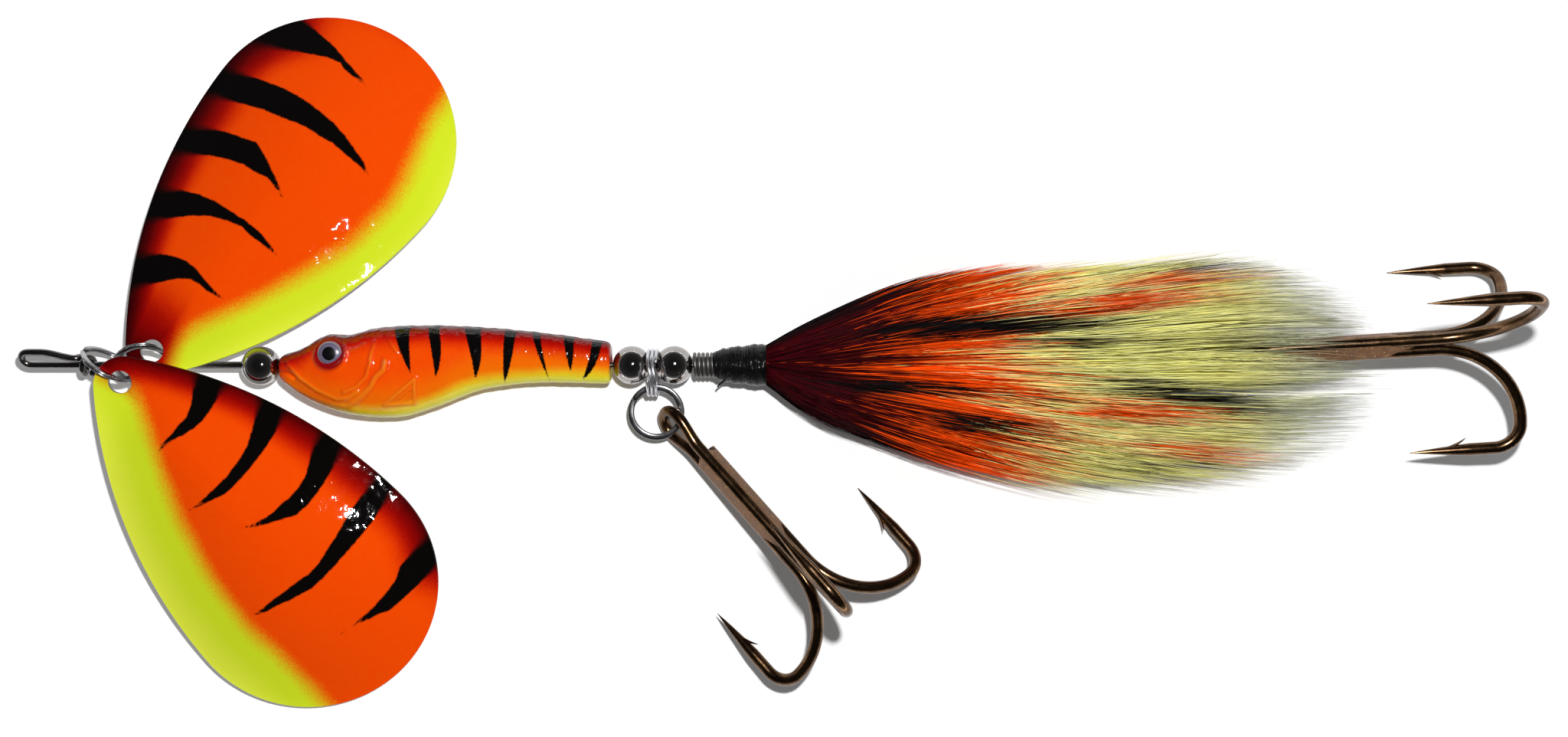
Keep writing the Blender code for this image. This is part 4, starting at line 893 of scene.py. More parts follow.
MOUTH = ((0.2, -1.2), (1.6, -1.2), (2.9, -2.0))
LIME_LINE = (
    (0, -3.6), (6, -6.4), (11.4, -6.9), (17.7, -6.9), (23.6, -5.6), (29.4, -3.0), (34, -2.0), (40, -1.4), (52, -1.3),
)
SECTION_POWER, BORE_RADIUS = 2.3, 0.85
END_ROUNDING, END_SHARE, END_SWELL = 0.7, 0.84, 0.16
SOCKET_TALL, SOCKET_RADIUS, SOCKET_WIDE = 0.42, 2.35, 0.42
MOUTH_DEEP, MOUTH_WIDE, SEAM_TALL, SEAM_WIDE = 0.42, 0.3, 0.14, 0.22


def relief(spots):
    """Height of the ridges in the side view: a bell curve of the distance to each line, less the mouth's groove."""
    bells = [tall * np.exp(-((line_distance(spots, knots) / wide) ** 2)) for knots, tall, wide in RIDGES]
    from_eye = np.linalg.norm(spots - EYE_SPOT, axis=1)
    socket = SOCKET_TALL * np.exp(-(((from_eye - SOCKET_RADIUS) / SOCKET_WIDE) ** 2))
    groove = MOUTH_DEEP * np.exp(-((line_distance(spots, MOUTH) / MOUTH_WIDE) ** 2))
    return np.max(bells, axis=0), socket - groove, from_eye


def minnow_grid(rows, columns):
    """Loft of rounded sections, |cos| and |sin| to the power 2 over the section power, with relief and a wavy seam."""
    station = MINNOW_LENGTH * np.linspace(0, 1, rows)
    back, belly, flank = (curve_through(knots, station)[:, None] for knots in (BACK, BELLY, FLANK))
    to_end = np.minimum(station, MINNOW_LENGTH - station) / END_ROUNDING
    round_in = np.sqrt(np.clip(1 - (1 - to_end).clip(0, 1) ** 2, 0, 1))
    shrink = (END_SHARE + END_SWELL * round_in)[:, None]
    turn = np.linspace(0, ROUND, columns, endpoint=False)[None, :]
    upright, sideways = (np.sign(f(turn)) * np.abs(f(turn)) ** (2 / SECTION_POWER) for f in (np.cos, np.sin))
    y = (back + belly) / 2 + (back - belly) / 2 * upright * shrink
    z = flank * sideways * shrink
    spots = np.stack(np.broadcast_arrays(station[:, None], y), axis=-1).reshape(-1, 2)
    ridge, other, from_eye = (part.reshape(y.shape) for part in relief(spots))
    z = z + sideways * np.abs(sideways) * (ridge + other)
    wavy = (0.8 + 0.3 * np.sin(station * 2.1) * np.sin(station * 0.83))[:, None]
    seam = SEAM_TALL * np.exp(-((z / SEAM_WIDE) ** 2)) * wavy
    y = y + np.sign(upright) * seam * np.abs(upright)
    x = np.broadcast_to(NOSE + station[:, None], y.shape)
    return station, np.stack([x, y, WIRE_HEIGHT + z], axis=-1), spots, ridge, from_eye


MINNOW_ROWS, MINNOW_COLUMNS = 330, 180
station, body_grid, spots, ridge, from_eye = minnow_grid(MINNOW_ROWS, MINNOW_COLUMNS)
spots[:, 1] = body_grid[..., 1].ravel()


def end_face(loop, shares):
    """Rows from an end section in to the bore: each a mix of the section and the bore's circle."""
    middle = np.array((loop[0, 0], 0.0, WIRE_HEIGHT))
    circle = middle + BORE_RADIUS * unit(loop - middle)
    return circle + np.array(shares)[:, None, None] * (loop - circle)


END_SHARES = (0.0, 0.35, 0.75)
bore_front, bore_rear = end_face(body_grid[0], END_SHARES), end_face(body_grid[-1], END_SHARES[::-1])
whole = np.concatenate([bore_front, body_grid, bore_rear])
faces = grid_faces(*whole.shape[:2], rows_closed=True)


def over_ends(value):
    """Carry a body value over the rows of the end faces."""
    ends = len(END_SHARES)
    value = np.asarray(value).reshape(MINNOW_ROWS, MINNOW_COLUMNS)
    return np.concatenate([np.repeat(value[:1], ends, 0), value, np.repeat(value[-1:], ends, 0)]).ravel()


# Each stripe: front base, front bend, tip, rear bend and rear base.
MINNOW_CLAWS = (
    ((17.8, 7.0), (18.8, 3.4), (21.3, -1.4), (21.2, 2.4), (20.4, 7.0)),
    ((22.9, 7.2), (24.6, 2.6), (25.0, -2.0), (27.0, 2.2), (24.5, 7.2)),
    ((28.4, 7.2), (30.8, 1.6), (30.9, -2.2), (33.0, 1.4), (31.1, 7.2)),
    ((35.2, 7.0), (35.4, 1.4), (35.2, -2.9), (37.2, 0.6), (37.1, 7.0)),
    ((39.0, 6.4), (40.4, 2.0), (42.2, -2.3), (41.7, 0.8), (40.4, 6.4)),
    ((44.0, 6.0), (44.7, 2.4), (45.6, -1.1), (46.5, 1.6), (45.8, 6.0)),
    ((48.8, 5.0), (49.0, 1.0), (47.3, -2.3), (50.5, -0.4), (50.4, 5.0)),
)
values = {
    "stripe": over_ends(nearest_claw(spots, [claw(*points) for points in MINNOW_CLAWS])),
    "below_back": over_ends(curve_through(BACK, spots[:, 0]) - spots[:, 1]),
    "lime": over_ends(curve_through(LIME_LINE, spots[:, 0]) - spots[:, 1]),
    "ridge": over_ends(ridge),
    "from_eye": over_ends(from_eye),
}
points, stands_for = whole.reshape(-1, 3), ("minnow_body",)
add_piece("minnow_body_moulded", points, faces, (minnow_paint,), "minnow", "minnow_paint", stands_for, values)

# %% [markdown]
# ## Eyes
#
# Each eye is a clear dome over a printed disc: a black pupil, a grey-violet iris with fine rays and a silver rim. The
# dome is a grid of circles that shrink towards its crown; the mesh carries each point's distance from the middle.

# %% Eyes
eye_finish = Finish("eye_print", Roughness=0.25, Coat_Weight=1.0, Coat_Roughness=0.02)
ring = eye_finish.carried("from_middle")
ring = eye_finish.shaken(ring, eye_finish.noise(0.2, 1.0), 0.08)
iris = eye_finish.blend(eye_finish.noise(0.5, 3.0), screen(84, 76, 98), screen(132, 124, 150))
eye_tone = eye_finish.blend(eye_finish.between(ring, 1.0, 1.08), screen(6, 5, 8), iris)
eye_tone = eye_finish.blend(eye_finish.between(ring, 1.62, 1.76), eye_tone, screen(156, 146, 154))
eye_tone = eye_finish.blend(eye_finish.between(ring, 1.8, 1.9), eye_tone, screen(110, 30, 34))
eye_finish.feed(eye_finish.shader, {"Base Color": eye_tone})

EYE_RADIUS, EYE_DEPTH, EYE_CROWN, EYE_WALL, EYE_SINK, EYE_COLUMNS = 1.95, 0.7, 0.6, 0.3, 0.1, 48
back, belly, flank = (curve_through(knots, EYE_SPOT[:1])[0] for knots in (BACK, BELLY, FLANK))
high = abs((EYE_SPOT[1] - (back + belly) / 2) / ((back - belly) / 2))
flank_height = flank * (1 - high**SECTION_POWER) ** (1 / SECTION_POWER)
dome_turn = np.linspace(0, np.pi / 2, 20)
dome_out = np.concatenate([[EYE_RADIUS, EYE_RADIUS], EYE_RADIUS * np.cos(dome_turn)[:-1], [0.02]])
dome_up = np.concatenate([[-EYE_DEPTH, -EYE_WALL], -EYE_SINK + (EYE_CROWN + EYE_SINK) * np.sin(dome_turn)])
for node, side in (("near_eye", 1), ("far_eye", -1)):
    turned_up = turned_grid(side * (flank_height + dome_up), dome_out, (0, 0, 0), EYE_COLUMNS)
    place = np.array((NOSE + EYE_SPOT[0], EYE_SPOT[1], WIRE_HEIGHT))
    grid = place + turned_up[..., [1, 2, 0]]
    points, faces = capped(grid if side > 0 else grid[:, ::-1])
    carried = np.concatenate([np.repeat(dome_out, EYE_COLUMNS), [0, 0]])
    add_piece(node + "_domed", points, faces, (eye_finish,), "minnow", "eye_paint", (node,), {"from_middle": carried})

# %% [markdown]
# ## Treble hooks
#
# A treble is one wire bent into two hooks with the eye between them, and a third hook brazed beside their shanks.
# Each hook lies in a plane through the treble's axis: a straight shank, a wide bend, a tight bend and a straight point
# with a cut barb. The wire is bronzed: brown and glossy, with the braze showing as a copper strip between the shanks.

# %% Hook finishes
hook_bronze = Finish("hook_bronzed", Metallic=1.0)
cloud, fine = hook_bronze.noise(2.5, 3.0), hook_bronze.noise(0.35, 2.0)
BRONZE_STOPS = ((0.3, screen(76, 56, 41)), (0.55, screen(102, 78, 56)), (0.75, screen(140, 107, 75)))
hook_bronze.feed(
    hook_bronze.shader,
    {
        "Base Color": hook_bronze.ramp(cloud, BRONZE_STOPS),
        "Roughness": hook_bronze.line(fine, 0.2, 0.13),
        "Normal": hook_bronze.bump(fine, 0.006),
    },
)
braze = Finish("hook_braze", Metallic=0.3)
cloud, fine = braze.noise(1.6, 4.0), braze.noise(0.3, 2.0)
braze_tone = braze.blend(cloud, screen(92, 62, 42), screen(156, 112, 76))
# The pale gold specks are painted glints on the braze.
braze_tone = braze.blend(braze.between(fine, 0.6, 0.75), braze_tone, screen(214, 178, 110))
braze_rough = braze.line(cloud, 0.3, 0.34)
braze.feed(braze.shader, {"Base Color": braze_tone, "Roughness": braze_rough, "Normal": braze.bump(cloud, 0.08)})

# %% Hook shapes
HOOK_RADIUS, HOOK_LENGTH, SHANK_OFFSET = 0.95, 45.5, 1.22
WIDE_RADIUS, WIDE_TURN, TIGHT_RADIUS = 11.8, np.radians(92), 3.7
POINT_TURN, POINT_LENGTH, POINT_FROM, POINT_TAPER = np.pi - np.radians(0.9), 12.1, 11.8, 8.5
TAPER_POWER, POINT_SHARP = 0.8, 0.07
BARB_ROOT, BARB_TIP, BARB_REACH, BARB_THICK, BARB_POWER = 4.6, 8.0, 1.85, 0.34, 2.8
# The eye's wire is drawn a little thinner, for room on the wire's rear loop.
EYE_HALF, EYE_NECK, THIRD_START, EYE_THINNER, THINNER_OVER = 2.5, 9.0, 10.0, 0.06, 4.0
BRAZE_FLAT, BRAZE_MOST, BRAZE_FROM, BRAZE_TO, BRAZE_RISE, BRAZE_FALL = 1.6, 1.95, 9.6, 31.0, 1.2, 5.0
HOOK_SIDES, BARB_SIDES = 20, 14


def hook_profile():
    """One hook in its plane, columns (along, out, radius): two arcs and a tapering point; and its barb likewise.

    The barb is a sliver cut up from the point. Its outer edge leaves the wire as a power of the distance from the
    tip, so it lies close at first and then bends away.
    """
    begin = HOOK_LENGTH - HOOK_RADIUS - WIDE_RADIUS * np.sin(WIDE_TURN) - TIGHT_RADIUS * (1 - np.sin(WIDE_TURN))
    turn = np.linspace(0, WIDE_TURN, 44)
    wide = np.stack([begin + WIDE_RADIUS * np.sin(turn), SHANK_OFFSET + WIDE_RADIUS * (1 - np.cos(turn))], axis=1)
    turn = np.linspace(WIDE_TURN, POINT_TURN, 26)[1:]
    tight = wide[-1] + TIGHT_RADIUS * np.stack(
        [np.sin(turn) - np.sin(WIDE_TURN), np.cos(WIDE_TURN) - np.cos(turn)], axis=1
    )
    ahead = np.array((np.cos(POINT_TURN), np.sin(POINT_TURN)))
    left = np.linspace(POINT_FROM, 0, 44)
    point = tight[-1] + (POINT_LENGTH - left)[:, None] * ahead
    radius = np.maximum(POINT_SHARP, HOOK_RADIUS * np.minimum(1, (left / POINT_TAPER) ** TAPER_POWER))
    bends = np.full(len(wide) + len(tight), HOOK_RADIUS)
    line = np.column_stack([np.concatenate([wide, tight, point]), np.concatenate([bends, radius])])
    t = np.linspace(0, 1, 16)
    left = BARB_ROOT + (BARB_TIP - BARB_ROOT) * t
    thick = BARB_THICK * (1 - t) ** 0.7 + 0.03
    lift = BARB_REACH * (left / BARB_TIP) ** BARB_POWER - thick
    sliver = tight[-1] + (POINT_LENGTH - left)[:, None] * ahead - lift[:, None] * (0, 1)
    return line, np.column_stack([sliver, thick])


def treble_frame(yaw, rise):
    """Axis from the eye to the bends, with an upright and a sideways direction."""
    yaw, rise = np.radians((yaw, rise))
    axis = np.array((np.cos(rise) * np.cos(yaw), np.cos(rise) * np.sin(yaw), np.sin(rise)))
    upright = unit(np.array((0, 0, 1.0)) - axis * axis[2])
    return axis, upright, np.cross(upright, axis)


def treble(frame, roll, hung_on, in_eye):
    """Closed shapes of the paired wire with its barbs, of the third hook with its barb and of the braze; and the core.

    The core is the treble's axis, the direction across its eye, the axis's start and the eye's offset from the axis.
    """
    axis, upright, sideways = frame
    turns = np.radians(np.array((roll, roll + 240, roll + 120)))
    first, second, third = np.cos(turns)[:, None] * upright + np.sin(turns)[:, None] * sideways
    profile, barb = hook_profile()
    middle, across = SHANK_OFFSET * (first + second) / 2, unit(first - second)
    spread = SHANK_OFFSET * np.linalg.norm(first - second) / 2
    top = EYE_HALF + HOOK_RADIUS
    s = np.linspace(EYE_NECK, top, 24)
    neck = np.column_stack([s, spread + (EYE_HALF - spread) * smooth_step((EYE_NECK - s) / (EYE_NECK - top))])
    t = np.linspace(0, np.pi, 40)[1:-1]
    loop = np.column_stack([top - EYE_HALF * np.sin(t), EYE_HALF * np.cos(t)])
    eye = np.concatenate([neck, loop, neck[::-1] * (1, -1)])
    eye_points = eye[:, :1] * axis + middle + eye[:, 1:] * across
    hooks = [profile[:, :1] * axis + profile[:, 1:2] * out for out in (first, second, third)]
    origin = np.asarray(hung_on) - (in_eye * axis + middle)
    pair = origin + np.concatenate([hooks[0][::-1], eye_points, hooks[1]])
    plain = HOOK_RADIUS - EYE_THINNER * smooth_step((EYE_NECK - eye[:, 0]) / THINNER_OVER)
    pair_radii = np.concatenate([profile[::-1, 2], plain, profile[:, 2]])
    start = np.linspace(THIRD_START, profile[0, 0], 30)[:-1, None]
    single = origin + np.concatenate([start * axis + SHANK_OFFSET * third, hooks[2]])
    single_radii = np.concatenate([np.full(len(start), HOOK_RADIUS), profile[:, 2]])
    barbs = [
        capped(carried_circle(origin + barb[:, :1] * axis + barb[:, 1:2] * out, barb[:, 2], BARB_SIDES))
        for out in (first, second, third)
    ]
    pair_shape = joined([capped(carried_circle(pair, pair_radii, HOOK_SIDES)), *barbs[:2]])
    third_shape = joined([capped(carried_circle(single, single_radii, HOOK_SIDES)), barbs[2]])
    s = np.linspace(BRAZE_FROM, BRAZE_TO, 60)
    swell = np.clip(np.minimum((s - BRAZE_FROM) / BRAZE_RISE, (BRAZE_TO - s) / BRAZE_FALL), 0.05, 1) ** 0.5
    turn = np.linspace(0, -ROUND, 72, endpoint=False)
    from_valley = (turn - np.radians(roll)) % (ROUND / 3) - ROUND / 6
    reach = np.minimum(BRAZE_FLAT / np.cos(from_valley), BRAZE_MOST)
    around = reach[:, None] * (np.cos(turn)[:, None] * upright + np.sin(turn)[:, None] * sideways)
    braze_shape = capped(origin + s[:, None, None] * axis + swell[:, None, None] * around)
    return (pair_shape, third_shape, braze_shape), (axis, across, origin, middle)


HANGS_AT, RING_DIP = -38.0, 7.9
ring_turn, ring_dip = np.radians((HANGS_AT, RING_DIP))
ring_out = np.array((np.cos(ring_turn), np.sin(ring_turn) * np.cos(ring_dip), np.sin(ring_turn) * np.sin(ring_dip)))
belly_hold = np.array(BELLY_CENTRE) + BELLY_RADIUS * ring_out
rear_roll = np.radians(REAR_EYE["roll"])
tail_hold = WIRE_REAR + REAR_EYE["width"] / 2 * np.array((0, np.cos(rear_roll), np.sin(rear_roll)))
# Node, its frame from yaw and rise, roll of the first hook, the point it hangs on, and how deep in its eye that lies.
TREBLES = (
    ("belly_hook", treble_frame(-47.15, 15.2), 6, belly_hold, 3.9),
    ("tail_hook", treble_frame(3.65, 12.2), 18.8, tail_hold, 2.8),
)
hook_cores = {}
for node, hook_frame, roll, hold, in_eye in TREBLES:
    (pair_shape, third_shape, braze_shape), hook_cores[node] = treble(hook_frame, roll, hold, in_eye)
    add_piece(node + "_pair_bronzed", *pair_shape, (hook_bronze,), node, "hook_bronze", (node + "_pair",))
    add_piece(node + "_third_bronzed", *third_shape, (hook_bronze,), node, "hook_bronze", (node + "_third",))
    add_piece(node + "_braze", *braze_shape, (braze,), node, "hook_bronze")

# %% [markdown]
# ## Tail tie
#
# The tail is tied on a tube: a grey wire coil locks it in front, and black thread is wound tightly over the hair's
# butt ends and lacquered. The winding is a turned profile whose radius rises and falls once per turn of thread along a
# helix, so the ridges are real. The tube itself is hidden, so it keeps its solid and only gets a finish.

# %% Coil, thread and tube
coil_steel = plated("coil_grey", (96, 92, 90), (140, 136, 132), (0.35, 0.55), 0.8)
COIL_FRONT, COIL_REAR, COIL_RADIUS, COIL_WIRE = -13.95, -10.6, 1.72, 0.56
COIL_LOOPS, COIL_STEPS = 5.0, 240
turn = np.linspace(0, ROUND * COIL_LOOPS, COIL_STEPS)
coil_x = np.linspace(COIL_FRONT, COIL_REAR, COIL_STEPS)
coil_line = np.stack([coil_x, COIL_RADIUS * np.cos(turn), WIRE_HEIGHT + COIL_RADIUS * np.sin(turn)], axis=1)
points, faces = capped(carried_circle(coil_line, COIL_WIRE / 2, 14))
add_piece("lock_coil_wound", points, faces, (coil_steel,), "shaft", "coil_steel", ("lock_coil",))

LACQUER = {"Coat_Weight": 0.5, "Coat_Roughness": 0.06, "Coat_IOR": 1.4}
thread_finish = Finish("thread_lacquered", Roughness=0.5, Specular_IOR_Level=0.05, **LACQUER)
cloud, fine = thread_finish.noise(0.5, 3.0), thread_finish.noise(0.08, 2.0, (0.3, 1, 1))
thread_finish.feed(
    thread_finish.shader,
    {
        "Base Color": thread_finish.blend(cloud, screen(4, 4, 5), screen(14, 13, 14)),
        "Normal": thread_finish.bump(fine, 0.03),
        "Coat Normal": thread_finish.bump(cloud, 0.16),
    },
)
THREAD = ((-11.1, 1.95), (-10.5, 2.2), (-9.4, 2.75), (-7.5, 2.95), (-5.0, 3.25), (-3.4, 3.45), (-3.0, 3.3))
THREAD_PITCH, THREAD_RIDGE, THREAD_SINK, THREAD_REAR = 0.42, 0.09, 0.08, -2.6
THREAD_ROWS, THREAD_COLUMNS = 400, 110
x = np.linspace(THREAD[0][0], THREAD_REAR, THREAD_ROWS)
thread_turn = np.linspace(0, ROUND, THREAD_COLUMNS, endpoint=False)
base = np.interp(x, *np.array(THREAD).T)
phase = ROUND * x[:, None] / THREAD_PITCH + thread_turn[None, :]
wander = 0.07 * np.sin(2.3 * x[:, None] + 2 * thread_turn) + 0.05 * np.sin(5.1 * x[:, None] - 3 * thread_turn)
mean_of_cosine = 0.64
ridges = THREAD_RIDGE * (np.abs(np.cos(phase / 2)) - mean_of_cosine) + wander
radius = base[:, None] - THREAD_SINK + ridges
around = radius * np.cos(thread_turn), WIRE_HEIGHT + radius * np.sin(thread_turn)
points, faces = capped(np.stack([np.broadcast_to(x[:, None], radius.shape), *around], axis=-1))
add_piece("thread_winding_turns", points, faces, (thread_finish,), "shaft", "black_thread", ("thread_winding",))
TAG_END = np.array(((-9.0, -2.2, 6.0), (-9.6, -2.7, 5.8), (-10.1, -3.1, 5.3), (-10.3, -3.4, 4.8)))
TAG_RADIUS, TAG_SPACING, TAG_SOFTENED = 0.16, 0.1, 0.3
points, faces = capped(carried_circle(evened(TAG_END, TAG_SPACING, TAG_SOFTENED), TAG_RADIUS, 8))
add_piece("thread_tag", points, faces, (thread_finish,), "shaft", "black_thread")

tube_plastic = Finish("tube_plastic_matt", Roughness=0.55)
tube_plastic.feed(
    tube_plastic.shader,
    {"Base Color": tube_plastic.blend(tube_plastic.noise(1.0, 3.0), screen(60, 60, 62), screen(84, 84, 86))},
)
tube_node = frame["nodes"]["tail_tube"]
tube_node.data.materials.clear()
tube_node.data.materials.append(tube_plastic.material)
print("tail tube keeps its solid")

# %% [markdown]
# ## Hair
#
# The tail is dyed deer hair, tied in three lengths: maroon outside, orange over chartreuse inside, with black locks
# between. Blender has hair curves of its own, but a part has to leave Blender as plain meshes, so each hair is a thin
# three-sided tube. A hair starts somewhere in the round butt, keeps its place in the bundle's section as the bundle
# widens and flattens, drifts with its lock, waves a little and ends in a point. All hairs of a layer are worked out in
# one array of hairs by steps. Dye is carried at the points: it changes along the hair at a distance that differs from
# hair to hair, which is what gives a dyed tail its feathered bands. Hairs that would run through the tail hook are
# laid beside it. The long hair is given the wire and the hook as a bend, but it is not put on a body: its points are
# baked in place.

# %% Hair finish
hair_finish = Finish("hair_dyed", Roughness=0.45, Specular_IOR_Level=0.06)
fleck = hair_finish.noise(0.7, 2.0, (0.12, 1, 1))
dye = hair_finish.carried("dye", "Color")
fleck_value = hair_finish.line(fleck, 0.9, 0.75)
shaded = hair_finish.node("ShaderNodeHueSaturation", {"Color": dye, "Value": fleck_value})
hair_finish.feed(hair_finish.shader, {"Base Color": shaded.outputs["Color"]})

# %% Hair shape
HAIR_ROOT = -2.7
UPPER_EDGE = (
    (-2.8, 3.3), (3, 5.9), (11, 9.2), (17, 12.4), (24, 14.7), (35, 15.9), (54, 15.3), (64, 16.6), (72, 16.6),
    (84, 13.3), (92, 9.0),
)
LOWER_EDGE = (
    (-2.8, -3.3), (3, -7.8), (7, -10.3), (14, -12.4), (24, -15.7), (35, -18.1), (49, -19.4), (60, -18.4), (70, -17.8),
    (78, -16.2), (84, -14.0), (92, -9.5),
)
MIDDLE_HEIGHT = ((-2.8, 4.75), (11, 5.3), (28, 6.1), (46, 6.3), (66, 6.4), (92, 6.6))
HALF_HEIGHT = ((-2.8, 3.3), (11, 4.6), (28, 5.5), (46, 5.7), (66, 5.6), (92, 4.2))
HAIR_STEPS, HAIR_RADIUS, STEP_POWER = 11, 0.07, 1.08
MAROON, ORANGE_DYE, LIME_DYE = screen(56, 2, 8), screen(255, 80, 4), screen(255, 244, 112)
PALE_DYE, BLACK_DYE, GREY_TIP = screen(255, 255, 190), screen(18, 13, 14), screen(232, 236, 214)
# Locks of another dye: middle x and y, half length, half width, slope, dye.
LOCKS = (
    (30.0, 6.0, 20.0, 1.9, 0.05, BLACK_DYE), (47.0, 3.5, 7.0, 1.2, 0.0, BLACK_DYE),
    (17.0, -3.6, 12.0, 1.4, -0.05, BLACK_DYE), (30.0, -9.0, 8.0, 2.0, -0.15, BLACK_DYE),
    (64.0, -4.9, 15.0, 2.1, -0.16, BLACK_DYE), (66.0, 15.0, 8.0, 1.4, 0.0, BLACK_DYE),
    (74.0, 3.6, 5.0, 1.7, 0.0, BLACK_DYE), (64.0, -15.6, 7.0, 1.2, 0.05, BLACK_DYE),
    (53.0, 9.6, 11.0, 1.9, 0.1, ORANGE_DYE), (53.0, -7.0, 9.0, 2.0, -0.1, ORANGE_DYE),
    (65.0, -13.4, 9.0, 1.7, -0.12, ORANGE_DYE), (60.0, 13.2, 10.0, 1.3, 0.05, ORANGE_DYE),
)
OUTER_MAROON, ORANGE_OVER, LIME_OVER, PALE_LEAST, PALE_MORE = 9.0, 7.0, 9.0, 0.15, 0.65
FRINGE_FROM, FRINGE_OVER, LOCK_SOFT = 0.62, 0.3, 0.25
TIP_FROM, TIP_OVER, TIP_SHARE = 70.0, 12.0, 0.85
DARK_HAIRS, DARK_TONE, TONES, THICKNESSES, THINS_BY = 0.09, 0.2, (0.7, 1.3), (0.6, 1.35), 0.85
LOWEST_HAIR, HAIR_CLEAR = 0.12, 0.15
WIDEST, HAIR_BOW, STRAIGHT_ACROSS, STRAIGHT_UP = 1.08, 0.42, 0.8, 0.4
LOCK_TURN, LOCK_OUT, LOCK_LENGTH, LOCK_DRIFT, GATHER = 0.26, 0.09, 3.2, 0.08, 0.5
DRIFT_POWER, WAVE_HIGH, WAVES = 1.5, 0.022, (6, 14)
WISPS = np.random.default_rng(7).uniform(-1.1, 1.1, 30)
WISP_FROM, WISP_OVER, WISP_LEAST, WISP_STEP = 0.4, 0.6, 0.4, 0.13
HOOK_LINE, HOOK_COVER, HOOK_COVER_WIDE, COVER_FROM, COVER_OVER = 1.8, 2.9, 4.6, 54.0, 13.0


def dye_colours(x, y, q, hair_shift, seed_share, bands):
    """Dye at each point: maroon, then orange, then chartreuse along the hair, with black and orange locks over them.

    A lock is the inside of an ellipse along the hair, smaller for some hairs than for others.
    """
    along = x + hair_shift
    maroon_end, orange_end = bands
    maroon_end = maroon_end + OUTER_MAROON * q**2
    orange = smooth_step((along - maroon_end) / ORANGE_OVER)[..., None]
    lime = smooth_step((along - orange_end) / LIME_OVER)[..., None]
    pale = (PALE_LEAST + PALE_MORE * seed_share)[..., None]
    long_dye = np.array(LIME_DYE) * (1 - pale) + np.array(PALE_DYE) * pale
    fringe = smooth_step((np.abs(q) - FRINGE_FROM) / FRINGE_OVER)[..., None]
    root_dye = np.array(MAROON) * (0.5 + 1.2 * seed_share[..., None]) * (1 - fringe) + np.array(BLACK_DYE) * fringe
    colour = (root_dye * (1 - orange) + np.array(ORANGE_DYE) * orange) * (1 - lime) + long_dye * lime
    for middle_x, middle_y, half_long, half_wide, slope, tone in LOCKS:
        across = (y - middle_y - slope * (x - middle_x)) / half_wide
        inside = 1.45 - ((x - middle_x + 0.8 * hair_shift) / half_long) ** 2 - across**2 - 1.1 * seed_share
        share = smooth_step(inside / LOCK_SOFT)[..., None]
        colour = colour * (1 - share) + np.array(tone) * share
    return colour


def straightened(height, t, share):
    """Move each row that share of the way to a bowed line from its first value to its last.

    The line is the start plus the rise times t (1 + bow (1 - t)).
    """
    first, last = height[:, :1], height[:, -1:]
    line = first + (last - first) * t * (1 + HAIR_BOW * (1 - t))
    return height + share * (line - height)


def hook_cleared(path):
    """Lay each hair that would run through the tail hook beside it instead.

    Where a hair comes closest to the hook's axis it gets one direction away from it, and each of its steps near the
    hook moves that way until it is past the wire's reach. A straight step between two such points stays clear as well.
    """
    axis, across, origin, middle = hook_cores["tail_hook"]
    along = (path - origin) @ axis
    beside = path - origin - along[..., None] * axis
    share = np.linspace(0, 1, 5)[:-1]
    between = beside[:, :-1, None] * (1 - share)[:, None] + beside[:, 1:, None] * share[:, None]
    level = along[:, :-1, None] * (1 - share) + along[:, 1:, None] * share
    gap = np.where(level > -2.0, np.linalg.norm(between, axis=-1), np.inf).reshape(len(path), -1)
    away = unit(between.reshape(len(path), -1, 3)[np.arange(len(path)), gap.argmin(axis=1)])
    shank_reach = SHANK_OFFSET + HOOK_RADIUS
    eye_reach = np.maximum(away @ middle + EYE_HALF * np.abs(away @ across) + HOOK_RADIUS, shank_reach)
    in_eye = smooth_step((EYE_NECK + 1 - along) / 3)
    reach = shank_reach + (eye_reach - shank_reach)[:, None] * in_eye + HAIR_CLEAR
    short = np.clip(reach - (beside * away[:, None]).sum(axis=-1), 0, None) * smooth_step((along + 10) / 8)
    near = gap.min(axis=1) < reach.max(axis=1)
    return path + (short * near[:, None])[..., None] * away[:, None]


